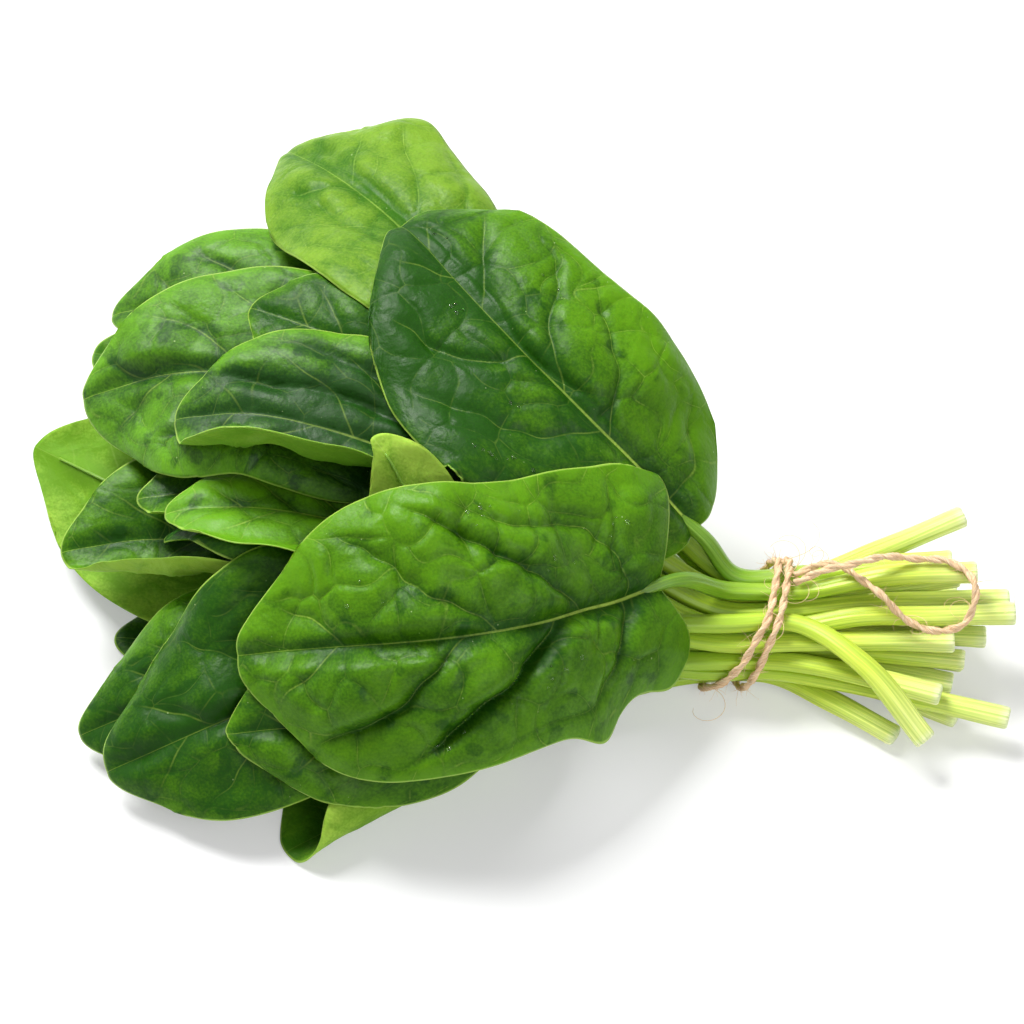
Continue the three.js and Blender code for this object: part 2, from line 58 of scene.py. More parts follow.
# ---- Camera ------------------------------------------------------------------------------------------
# A long lens looks down on the bunch from its front, so that the heap of leaves and the tie both show.
# It aims a little in front of the middle of the bunch's box and below it.
MM = 0.001  # m
AIM = (cad_low + cad_high) / 2 + Vector((-1.4, -13.0, -9.9)) * MM
LOOKING_DOWN = math.radians(52)
CAMERA_DISTANCE = 1400 * MM
LENS = 187  # mm

camera_data = bpy.data.cameras.new("camera")
camera_data.lens = LENS
camera_data.clip_end = 20
camera = bpy.data.objects.new("camera", camera_data)
bpy.context.collection.objects.link(camera)
towards_camera = Vector((0, -math.cos(LOOKING_DOWN), math.sin(LOOKING_DOWN)))
camera.location = AIM + towards_camera * CAMERA_DISTANCE
camera.rotation_euler = (-towards_camera).to_track_quat("-Z", "Y").to_euler()
bpy.context.scene.camera = camera

# ---- Jute twine --------------------------------------------------------------------------------------
# Two-strand jute twine, 2.2 mm thick: two turns pulled tight round all the stalks, and a loose loop of the
# same twine that leaves the knot under the turns and lies on the stalks. Fine fibres stand off it all over.
TWINE = 2.2  # mm, across both strands
STRAND = 0.62 * TWINE  # mm, across one strand
TWIST = 11.5  # mm along the twine for one full turn of its strands
TWINE_STEP = 0.45  # mm, from one ring of a strand's points to the next
STRAND_CORNERS = 10  # points round a strand
FIBRES_PER_MM = 2.1
CURL_EVERY = 16  # mm of twine for each long curled fibre
LOWEST_FIBRE = 0.15  # mm above the surface
# The loop's route from the knot, out over the stalk ends and back, in metres.
LOOP_ROUTE = [
    (0.0723, -0.0322, 0.0278), (0.0799, -0.0302, 0.0300), (0.0849, -0.0318, 0.0312),
    (0.0889, -0.0356, 0.0312), (0.0944, -0.0410, 0.0312), (0.1009, -0.0456, 0.0265),
    (0.1084, -0.0484, 0.0252), (0.1159, -0.0474, 0.0269), (0.1189, -0.0419, 0.0340),
    (0.1169, -0.0359, 0.0340), (0.1114, -0.0321, 0.0340), (0.1039, -0.0314, 0.0338),
    (0.0954, -0.0324, 0.0360), (0.0869, -0.0346, 0.0357), (0.0799, -0.0348, 0.0334),
    (0.0725, -0.0353, 0.0286),
]


def through(knots, values, at):
    """A smooth curve through values, which has a row for each knot, at each place in `at`. Where each row
    holds a point for every place, each place has a curve of its own."""
    knots = np.asarray(knots, float)
    values = np.asarray(values, float)
    gap = np.diff(knots).reshape((-1,) + (1,) * (values.ndim - 1))
    rise = np.diff(values, axis=0) / gap
    inner = (rise[:-1] * gap[1:] + rise[1:] * gap[:-1]) / (gap[1:] + gap[:-1])
    slope = np.concatenate([rise[:1], inner, rise[-1:]])
    at = np.asarray(at, float)
    i = np.clip(np.searchsorted(knots, at, side="right") - 1, 0, len(knots) - 2)
    each = np.arange(len(at))

    def row(rows, k):
        return rows[k] if values.ndim == 2 else rows[k, each]

    h = (knots[i + 1] - knots[i])[:, None]
    t = ((at - knots[i]) / h[:, 0])[:, None]
    return (
        row(values, i) * (2 * t**3 - 3 * t**2 + 1)
        + row(slope, i) * h * (t**3 - 2 * t**2 + t)
        + row(values, i + 1) * (3 * t**2 - 2 * t**3)
        + row(slope, i + 1) * h * (t**3 - t**2)
    )


def between(at, knots, values):
    """The rows of values, one for each knot, at each place in `at`, in straight steps from row to row."""
    return np.stack([np.interp(at, knots, values[:, k]) for k in range(3)], axis=1)


def far_along(points):
    """How far along their line each of the points is."""
    return np.concatenate([[0], np.cumsum(np.linalg.norm(np.diff(points, axis=0), axis=1))])


def even_steps(points, step):
    """The smooth curve through points, cut into even steps: its points and how far along each one is."""
    points = np.asarray(points, float)
    # Knots as far apart as the square root of each gap keep the curve from overshooting at its bends.
    knots = np.concatenate([[0], np.cumsum(np.linalg.norm(np.diff(points, axis=0), axis=1) ** 0.5)])
    places_per_knot = 60
    fine = through(knots, points, np.linspace(0, knots[-1], places_per_knot * len(points)))
    along = far_along(fine)
    places = np.linspace(0, along[-1], max(3, int(round(along[-1] / step)) + 1))
    return between(places, along, fine), places


def unit(vectors):
    """The vectors, each at a length of one."""
    return vectors / np.maximum(np.linalg.norm(vectors, axis=-1, keepdims=True), 1e-12)


def carried_sides(points, first_side):
    """At each point, the way ahead, and a direction square to it that is carried along without turning."""
    ahead = unit(np.gradient(points, axis=0))
    sides = [first_side - ahead[0] * np.dot(first_side, ahead[0])]
    for direction in ahead[1:]:
        side = sides[-1] - direction * np.dot(sides[-1], direction)
        sides.append(side / np.linalg.norm(side))
    return ahead, unit(np.array(sides))


ABOVE_SURFACE = 0.02  # mm: nothing reaches below this


class Shape:
    """Points, faces, and what is known of each point, collected into one mesh."""

    def __init__(self):
        self.points = []
        self.faces = []
        self.finishes = []
        self.facts = {}
        self.count = 0

    def add(self, points, face_sets, finish=0, **facts):
        """Adds points, sets of faces between them, and facts, each with one value or three for a point."""
        for name, values in facts.items():
            self.facts.setdefault(name, []).append((self.count, np.asarray(values, float)))
        self.points.append(points)
        for faces in face_sets:
            self.faces.extend((faces + self.count).tolist())
            self.finishes.extend([finish] * len(faces))
        self.count += len(points)

    def piece(self, name, materials, slot):
        """The finished piece, in metres, riding on the bunch. A point without a fact has nought for it."""
        points = np.concatenate(self.points)
        points[:, 2] = np.maximum(points[:, 2], ABOVE_SURFACE)
        points = points * MM
        mesh = bpy.data.meshes.new(name)
        mesh.from_pydata(points.tolist(), [], self.faces)
        for material in materials:
            mesh.materials.append(material)
        mesh.polygons.foreach_set("material_index", self.finishes)
        mesh.polygons.foreach_set("use_smooth", [True] * len(mesh.polygons))
        for fact, parts in self.facts.items():
            width = 1 if parts[0][1].ndim == 1 else 3
            whole = np.zeros((self.count, width))
            for start, values in parts:
                whole[start : start + len(values)] = values.reshape(len(values), width)
            kind, key = ("FLOAT", "value") if width == 1 else ("FLOAT_VECTOR", "vector")
            mesh.attributes.new(fact, kind, "POINT").data.foreach_set(key, whole.ravel())
        made = bpy.data.objects.new(name, mesh)
        bpy.context.collection.objects.link(made)
        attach(made, "root")
        return made


def ring_faces(rings):
    """The four-cornered faces between closed rings of points, which `rings` numbers row by row."""
    following = np.roll(rings, -1, axis=1)
    return np.stack([rings[:-1], following[:-1], following[1:], rings[1:]], axis=-1).reshape(-1, 4)


def add_tube(shape, points, sides, section, finish=0, **facts):
    """A closed tube along points. section has the outline at each point, as distances along two sides."""
    rows, around = section.shape[:2]
    surface = points[:, None] + section[..., :1] * sides[0][:, None] + section[..., 1:] * sides[1][:, None]
    rings = np.arange(rows * around).reshape(rows, around)
    lids = [
        np.stack([ring, np.roll(ring, -1), np.full(around, middle)], axis=-1)
        for ring, middle in ((rings[0, ::-1], rings.size), (rings[-1], rings.size + 1))
    ]

    def with_ends(values):
        """The values of the tube's points, and of the middle of each end."""
        ends = [values[ring].mean(axis=0, keepdims=True) for ring in (rings[0], rings[-1])]
        return np.concatenate([values, *ends])

    facts = {name: with_ends(values) for name, values in facts.items()}
    shape.add(with_ends(surface.reshape(-1, 3)), [ring_faces(rings), *lids], finish, **facts)


def add_twine(shape, fibres, route, dice, first_side):
    """Two strands twisted round the route, and stray fibres on them. Returns the middle line, in mm."""
    centre, along = even_steps(route, TWINE_STEP)
    ahead, side = carried_sides(centre, first_side)
    other = np.cross(ahead, side)
    turn = 2 * math.pi * along / TWIST
    around = np.linspace(0, 2 * math.pi, STRAND_CORNERS, endpoint=False)
    off = (TWINE - STRAND) / 2
    # Each strand is uneven, has five ridges, and turns as it was spun.
    for strand in (0, math.pi):
        outward = np.cos(turn + strand)[:, None] * side + np.sin(turn + strand)[:, None] * other
        uneven = 1 + 0.06 * np.sin(along * 1.9 + strand) + 0.05 * np.sin(along * 4.3 + 2 * strand)
        spin = around[None] + turn[:, None] * 2.2
        ridge = 1 + 0.05 * np.cos(5 * around[None] + strand)
        reach = STRAND / 2 * uneven[:, None] * ridge
        section = np.stack([reach * np.cos(spin), reach * np.sin(spin)], axis=-1)
        place = np.stack([
            np.repeat(along, STRAND_CORNERS),
            np.tile(around, len(along)) * STRAND / 2,
            np.full(len(along) * STRAND_CORNERS, strand),
        ], axis=1)
        add_tube(shape, centre + off * outward, (side, other), section, strand_place=place)
    for _ in range(int(along[-1] * FIBRES_PER_MM)):
        add_fibre(fibres, centre, ahead, side, other, dice)
    for _ in range(int(along[-1] / CURL_EVERY)):
        add_curl(fibres, centre, dice)
    return centre


def add_hair(shape, points, radii, corners):
    """One hair of jute along points, as a thin tube. All hairs take one place in the streaks: one colour."""
    ahead, across = carried_sides(points, np.array([0.3, 0.4, 0.86]))
    around = np.linspace(0, 2 * math.pi, corners, endpoint=False)
    section = radii[:, None, None] * np.stack([np.cos(around), np.sin(around)], axis=-1)[None]
    place = np.tile([0.0, 0.0, 9.0], (len(points) * corners, 1))
    add_tube(shape, points, (across, np.cross(ahead, across)), section, strand_place=place)


def add_fibre(shape, centre, ahead, side, other, dice):
    """One thin fibre that leaves the twine, bends in the air and ends free or back on the twine."""
    joints, longest = 6, 9  # mm
    i = dice.randrange(2, len(centre) - 2)
    angle = dice.uniform(0, 2 * math.pi)
    out = math.cos(angle) * side[i] + math.sin(angle) * other[i]
    length = min(dice.lognormvariate(0.75, 0.5), longest)
    heading = unit(ahead[i] * dice.choice((-1, 1)) * dice.uniform(0.6, 1.6) + out * dice.uniform(0.35, 1.0))
    bend = unit(np.array([dice.gauss(0, 1) for _ in range(3)])) * dice.uniform(0.0, 0.55)
    points = [centre[i] + out * TWINE * 0.36]
    for _ in range(joints):
        heading = unit(heading + bend * length / joints + np.array([dice.gauss(0, 0.12) for _ in range(3)]))
        points.append(points[-1] + heading * length / joints)
    points = np.array(points)
    points[:, 2] = np.maximum(points[:, 2], LOWEST_FIBRE)
    add_hair(shape, points, np.linspace(0.055, 0.02, len(points)) * dice.uniform(0.8, 1.3), corners=3)


def add_curl(shape, centre, dice):
    """One long fibre that has come off the twine and hangs in a loose curl beside it."""
    joints = 18
    points = [centre[dice.randrange(2, len(centre) - 2)] + np.array([0, 0, TWINE * 0.4])]
    length, turns = dice.uniform(12, 26), dice.uniform(0.4, 1.1) * dice.choice((-1, 1))
    angle = dice.uniform(-0.9, 0.9)
    for k in range(joints):
        angle += turns * 2 * math.pi / joints * (0.4 + k / 14)
        rise = 0.18 - 0.02 * k + dice.gauss(0, 0.05)
        points.append(points[-1] + length / joints * np.array([math.cos(angle), math.sin(angle), rise]))
    points = np.array(points)
    add_hair(shape, points, np.linspace(0.09, 0.05, len(points)), corners=4)


def linear(hex_colour):
    """An sRGB hex colour as the linear colour that shader sockets hold."""
    parts = [int(hex_colour[i : i + 2], 16) / 255 for i in (1, 3, 5)]
    return tuple(c / 12.92 if c <= 0.04045 else ((c + 0.055) / 1.055) ** 2.4 for c in parts) + (1.0,)


def node(tree, kind, inputs=(), **settings):
    """Adds a node, sets its settings, and fills its inputs with values or with what other nodes give out.
    A whole node as an input stands for its first output in use."""
    made = tree.nodes.new(kind)
    for name, value in settings.items():
        setattr(made, name, value)
    for key, value in dict(inputs).items():
        if isinstance(value, bpy.types.Node):
            value = next(output for output in value.outputs if output.enabled)
        if isinstance(value, bpy.types.NodeSocket):
            tree.links.new(value, made.inputs[key])
        else:
            made.inputs[key].default_value = value
    return made


def new_material(name):
    """An empty material, and the tree to add its nodes to."""
    material = bpy.data.materials.new(name)
    material.use_nodes = True
    material.node_tree.nodes.clear()
    return material, material.node_tree


def lay_colours(ramp, stops):
    """Lays colours along a ramp, each with its place from 0 to 1."""
    elements = ramp.color_ramp.elements
    elements.remove(elements[1])
    elements[0].position, elements[0].color = stops[0][0], linear(stops[0][1])
    for place, colour in stops[1:]:
        elements.new(place).color = linear(colour)


def jute():
    """Spun jute: dull, tan with a pink cast, and streaked lengthwise, because some fibres are paler."""
    material, tree = new_material("spun_jute")
    place = node(tree, "ShaderNodeAttribute", attribute_name="strand_place").outputs["Vector"]
    # Fibres are about 0.1 mm wide, drawn 0.25 mm wide to show, and run 3 mm along the strand.
    stretched = node(tree, "ShaderNodeVectorMath", {0: place, 1: (0.33, 4.0, 1.0)}, operation="MULTIPLY")
    streaks = node(tree, "ShaderNodeTexNoise", {"Vector": stretched, "Scale": 1.0, "Detail": 3.0})
    colours = node(tree, "ShaderNodeValToRGB", {"Fac": streaks})
    lay_colours(colours, ((0.28, "#cda57c"), (0.5, "#eecaa0"), (0.72, "#fbe9cd")))
    bump = node(tree, "ShaderNodeBump", {"Height": streaks, "Strength": 0.8, "Distance": 0.2 * MM})
    spun = node(tree, "ShaderNodeBsdfPrincipled", {
        "Base Color": colours, "Normal": bump, "Roughness": 0.85, "Specular IOR Level": 0.25,
    })
    node(tree, "ShaderNodeOutputMaterial", {"Surface": spun})
    return material


JUTE = jute()
loop_dice = random.Random(11)
loop_shape, loop_fuzz = Shape(), Shape()
loop_route = np.array(LOOP_ROUTE) / MM
loop_centre = add_twine(loop_shape, loop_fuzz, loop_route, loop_dice, np.array([0.0, 0.0, 1.0]))
loop = loop_shape.piece("twine_loop_spun", [JUTE], "twine")
loop_fibres = loop_fuzz.piece("twine_loop_fibres", [JUTE], "twine")
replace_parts(loop, "twine_loop")


def points_of(name):
    """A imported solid's own points, in mm, and for each of them the points that it shares a face with.
    Corners within a thousandth of a millimetre of each other are one point."""
    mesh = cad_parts[name].data
    places = np.empty(len(mesh.vertices) * 3)
    mesh.vertices.foreach_get("co", places)
    rounded = np.round(places.reshape(-1, 3) * 1e6).astype(np.int64)
    _, first, same = np.unique(rounded, axis=0, return_index=True, return_inverse=True)
    points = places.reshape(-1, 3)[first] / MM
    near = [set() for _ in points]
    for face in mesh.polygons:
        corners = {int(same.ravel()[v]) for v in face.vertices}
        for corner in corners:
            near[corner] |= corners - {corner}
    return points, near


def route_of(name, step=1.6):
    """The middle line of a packed tube, from its front end, in mm. Its surface is walked from that end, and
    the middle of the places that are reached together is a point of the line, every `step` mm."""
    points, near = points_of(name)
    end_points = [i for i in range(len(points)) if len(near[i]) == 4]
    first = min(end_points, key=lambda i: points[i][1])
    far = np.full(len(points), np.inf)
    far[first] = 0
    queue = [(0.0, first)]
    while queue:
        reached, i = heapq.heappop(queue)
        for j in near[i]:
            there = reached + float(np.linalg.norm(points[j] - points[i]))
            if there < far[j] - 1e-9:
                far[j] = there
                heapq.heappush(queue, (there, j))
    edges = np.array([(i, j) for i in range(len(points)) for j in near[i] if i < j])
    start, end = edges.T
    part = np.linspace(0, 1, 9)[:, None, None]
    places = (points[start] * (1 - part) + points[end] * part).reshape(-1, 3)
    reached = (far[start] * (1 - part[..., 0]) + far[end] * part[..., 0]).ravel()
    return np.array([
        places[np.abs(reached - here) < step * 0.75].mean(axis=0)
        for here in np.arange(step, far.max() - step, step)
    ])


band_dice = random.Random(12)
band_shape, band_fuzz = Shape(), Shape()
add_twine(band_shape, band_fuzz, route_of("twine_band"), band_dice, np.array([1.0, 0.0, 0.0]))
band = band_shape.piece("twine_band_spun", [JUTE], "twine")
band_fuzz.piece("twine_band_fibres", [JUTE], "twine")
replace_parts(band, "twine_band")

# ---- Leaves ------------------------------------------------------------------------------------------
# Flat-leaf spinach: each leaf is one growth, a grooved juicy stalk that becomes the midrib of a soft, waxy
# blade. Side veins leave the midrib, and a net of fine veins fills the spaces, which swell up between them.
# Every leaf is bent as its solid is: the solid's rings give a coarse cage, with a smooth skin through it.
BLADE_RINGS = 10  # rings of the cage that make the blade; those before them make the stalk
WIDEST_RING = 4  # of the blade's rings
BLADE = 0.5  # mm, thickness
CELL = 13.0  # mm, across one swelling between the fine veins
VEIN_VALLEY = 2.6  # mm, half the width of the valley along a side vein
STALK_CORNERS = 26  # points round a stalk
STALK_STEP = 1.7  # mm, from one ring of its points to the next

# The heap so far, on which each leaf is laid: the height of its top over each square millimetre.
HEAP_CORNER = np.array([-150, -125])
heap = np.zeros((300, 250))


def heap_cells(points):
    """The heap's cell under each point."""
    cells = np.round(points[:, :2] - HEAP_CORNER).astype(int)
    return np.clip(cells[:, 0], 1, heap.shape[0] - 2), np.clip(cells[:, 1], 1, heap.shape[1] - 2)


def add_to_heap(points):
    """Raises the heap to the points, and nearly as high in the cells beside them."""
    lower_beside = 0.25  # mm
    i, j = heap_cells(points)
    for di in (-1, 0, 1):
        for dj in (-1, 0, 1):
            np.maximum.at(heap, (i + di, j + dj), points[:, 2] - lower_beside * (abs(di) + abs(dj)))


def lift_off_heap(points, rows, columns, fade):
    """How far each point of a blade has to rise to clear the heap, spread softly over its neighbours."""
    highest_rise, softenings = 3.0, 24
    i, j = heap_cells(points)
    needed = np.clip((heap[i, j] + BLADE - points[:, 2]) * fade, 0, highest_rise).reshape(rows, columns)
    rise = needed.copy()
    for _ in range(softenings):
        wide = np.pad(rise, 1, mode="edge")
        soft = (wide[:-2, 1:-1] + wide[2:, 1:-1] + wide[1:-1, :-2] + wide[1:-1, 2:] + wide[1:-1, 1:-1]) / 5
        rise = np.maximum(soft, needed)
    return rise


def cage_of(name):
    """A leaf solid's rings from the cut end to the tip, in mm: the upper points of each, from the leaf's
    front to its back, and the lower points likewise."""
    points, near = points_of(name)
    pole = max(range(len(points)), key=lambda i: len(near[i]))
    seen, ring, levels = {pole}, set(near[pole]), []
    while ring:
        seen |= ring
        levels.append(ring)
        ring = set().union(*(near[i] for i in ring)) - seen
    first = [min(levels[0])]
    while len(first) < len(levels[0]):
        following = [j for j in near[first[-1]] & levels[0] if j not in first]
        first.append(following[0])

    def followed(order):
        """The rings in the first one's order, and how far their points are from the next ring's in all."""
        rings = [order]
        for level in levels[1:]:
            last = rings[-1]
            rings.append([
                next(iter((near[last[k - 1]] & near[last[k]]) & level)) for k in range(len(last))
            ])
        pairs = [(a, b) for u, w in zip(rings, rings[1:]) for a, b in zip(u, w)]
        return sum(np.linalg.norm(points[a] - points[b]) for a, b in pairs), rings

    _, rings = min((followed(first), followed(first[::-1])), key=lambda found: found[0])
    places = points[np.array(rings)]
    half = places.shape[1] // 2

    def split(shift):
        """The rings' two halves, if each ring starts `shift` points on."""
        moved = np.roll(places, -shift, axis=1)
        return moved[:, :half], moved[:, half:][:, ::-1]

    def gap(shift):
        top, bottom = split(shift)
        return np.linalg.norm(top[-BLADE_RINGS:] - bottom[-BLADE_RINGS:], axis=-1).sum()

    shift = min(range(half), key=gap)
    top, bottom = split(shift)
    if top[0, :, 2].mean() < bottom[0, :, 2].mean():
        top, bottom = split(shift + half)
    return top, bottom


def cell_borders(places):
    """How far each place is from the border of its cell, in a net of cells one unit across. Blender's own
    pattern is asked, so that the swellings lie in the cells that the material draws."""
    mesh = bpy.data.meshes.new("places")
    flat = np.zeros((len(places), 3))
    flat[:, :2] = places[:, :2]
    mesh.from_pydata(flat.tolist(), [], [])
    holder = bpy.data.objects.new("places", mesh)
    bpy.context.collection.objects.link(holder)
    group = bpy.data.node_groups.new("borders", "GeometryNodeTree")
    group.interface.new_socket("Geometry", in_out="INPUT", socket_type="NodeSocketGeometry")
    group.interface.new_socket("Geometry", in_out="OUTPUT", socket_type="NodeSocketGeometry")
    cells = node(
        group, "ShaderNodeTexVoronoi", {"Vector": node(group, "GeometryNodeInputPosition"), "Scale": 1.0},
        voronoi_dimensions="2D", feature="DISTANCE_TO_EDGE",
    ).outputs["Distance"]
    stored = node(
        group, "GeometryNodeStoreNamedAttribute",
        {"Geometry": node(group, "NodeGroupInput").outputs[0], "Name": "border", "Value": cells},
    )
    node(group, "NodeGroupOutput", {0: stored.outputs[0]})
    holder.modifiers.new("borders", "NODES").node_group = group
    result = holder.evaluated_get(bpy.context.evaluated_depsgraph_get()).data
    found = np.empty(len(places))
    result.attributes["border"].data.foreach_get("value", found)
    bpy.data.objects.remove(holder)
    bpy.data.meshes.remove(mesh)
    bpy.data.node_groups.remove(group)
    return found


def smooth_step(low, high, value):
    """A soft step from 0 where value is low to 1 where it is high."""
    t = np.clip((value - low) / (high - low), 0, 1)
    return t * t * (3 - 2 * t)


def waves(dice, x, y, lengths, count=5):
    """A smooth uneven field between about -1 and 1: a few crossing waves of the given lengths in mm."""
    field = 0
    for _ in range(count):
        angle, phase = dice.uniform(0, math.pi), dice.uniform(0, 2 * math.pi)
        length = dice.uniform(*lengths)
        field = field + np.sin((x * math.cos(angle) + y * math.sin(angle)) * 2 * math.pi / length + phase)
    return field / math.sqrt(count * 1.5)


def sheet_of(top, bottom, middle_column, turned, fuller):
    """The blade's cage as one layer of points between its two sides, without the midrib's thickness. It is
    smoothed from ring to ring, and made a little wider again, because that narrows it."""
    wider = 1.015
    face = unit(top - bottom)
    half_thick = np.linalg.norm(top[:, 0] - bottom[:, 0], axis=-1).mean() / 2
    flat_side, inward = (bottom, 1) if turned else (top, -1)
    sheet = (top + bottom) / 2
    sheet[:, middle_column] = flat_side[:, middle_column] + inward * face[:, middle_column] * half_thick
    middle = sheet[:, middle_column : middle_column + 1]
    reaches = sheet - middle
    reaches[1:-1] = (reaches[:-2] + 2 * reaches[1:-1] + reaches[2:]) / 4
    towards_tip = smooth_step(0.45, 1.0, np.linspace(0, 1, BLADE_RINGS))[:, None, None]
    reaches[:, :middle_column] *= wider + fuller[0] * towards_tip
    reaches[:, middle_column:] *= wider + fuller[1] * towards_tip
    onward = unit(sheet[-1, middle_column] - sheet[-3, middle_column])
    return middle + reaches + onward * fuller[2] * towards_tip


def outline_grid(rows, columns, base, tip, blunt):
    """Places on the blade, as shares (along, across). Its corners are rounded over `base` of its length and,
    in front and behind, over the two shares in `tip`. Its very tip is drawn back by `blunt`."""
    p = np.linspace(0, 1, rows)[:, None]
    q = np.linspace(-1, 1, columns)[None]
    start = base * (1 - (1 - np.abs(q) ** 2.6) ** (1 / 2.2))
    end = 1 - np.where(q < 0, *tip) * (1 - np.sqrt(1 - np.abs(q) ** 2.3))
    end = end - blunt * np.exp(-((q / 0.4) ** 2))
    along = start + (end - start) * p
    return along.ravel(), (q + 0 * p).ravel()


def margin_distance(x, y, rim):
    """How far each point of the flat leaf is from its margin."""
    here = np.stack([x, y], axis=1)
    edge = np.full(len(x), np.inf)
    for part in np.array_split(here[rim], 12):
        edge = np.minimum(edge, np.linalg.norm(here[:, None] - part[None], axis=-1).min(axis=1))
    return edge


def side_veins(dice, x, y, share, length, half_width, pairs, roots):
    """For the front and the back of the blade: a count that passes a whole number at each side vein, and
    how deep the nearest vein lies. The veins sweep forward, more so towards the tip."""
    out = np.abs(y)
    near_margin = out / half_width
    sweep = -0.25 + 1.15 * smooth_step(-0.08, 0.42, share) + 0.25 * share
    bend = (0.30 * out * near_margin + 0.34 * half_width * near_margin**4) * smooth_step(0.0, 0.4, share)
    root = (x - out * sweep - bend) / length
    wobble = waves(dice, x, y, (26, 48)) * 0.10 + waves(dice, x, y, (9, 17)) * 0.035
    counts, depths = [], []
    for chosen in roots or (None, None):
        if chosen is None:
            gaps = [dice.uniform(0.7, 1.3) / pairs for _ in range(int(1.5 * pairs))]
            chosen = {place - 0.15: 0.25 + 1.9 * dice.random() ** 2 for place in np.cumsum(gaps)}
        first, last = min(chosen), max(chosen)
        before = {first - 0.3 * k: 0.5 for k in range(1, 7)}
        beyond = {last + 0.2 * k: 0.5 for k in range(1, 8)}
        chosen = chosen | before | beyond
        own_depth = np.array([chosen[place] for place in sorted(chosen)])
        counts.append(np.interp(root, sorted(chosen), np.arange(len(chosen))) + wobble)
        depths.append(own_depth[np.clip(np.round(counts[-1]).astype(int), 0, len(chosen) - 1)])
    return counts, depths


def vein_spacing(side_count, x, y, shape):
    """How far apart the side veins are at each point, in mm: one over how steeply their count rises."""
    count, x, y = side_count.reshape(shape), x.reshape(shape), y.reshape(shape)
    along, across = (
        np.gradient(count, axis=axis)
        / np.maximum(np.hypot(np.gradient(x, axis=axis), np.gradient(y, axis=axis)), 1e-6)
        for axis in (0, 1)
    )
    middle = shape[1] // 2
    across[:, middle - 1 : middle + 2] = across[:, [middle - 2]]
    return np.clip(1 / np.maximum(np.hypot(along, across), 1e-6), 3, 30).ravel()


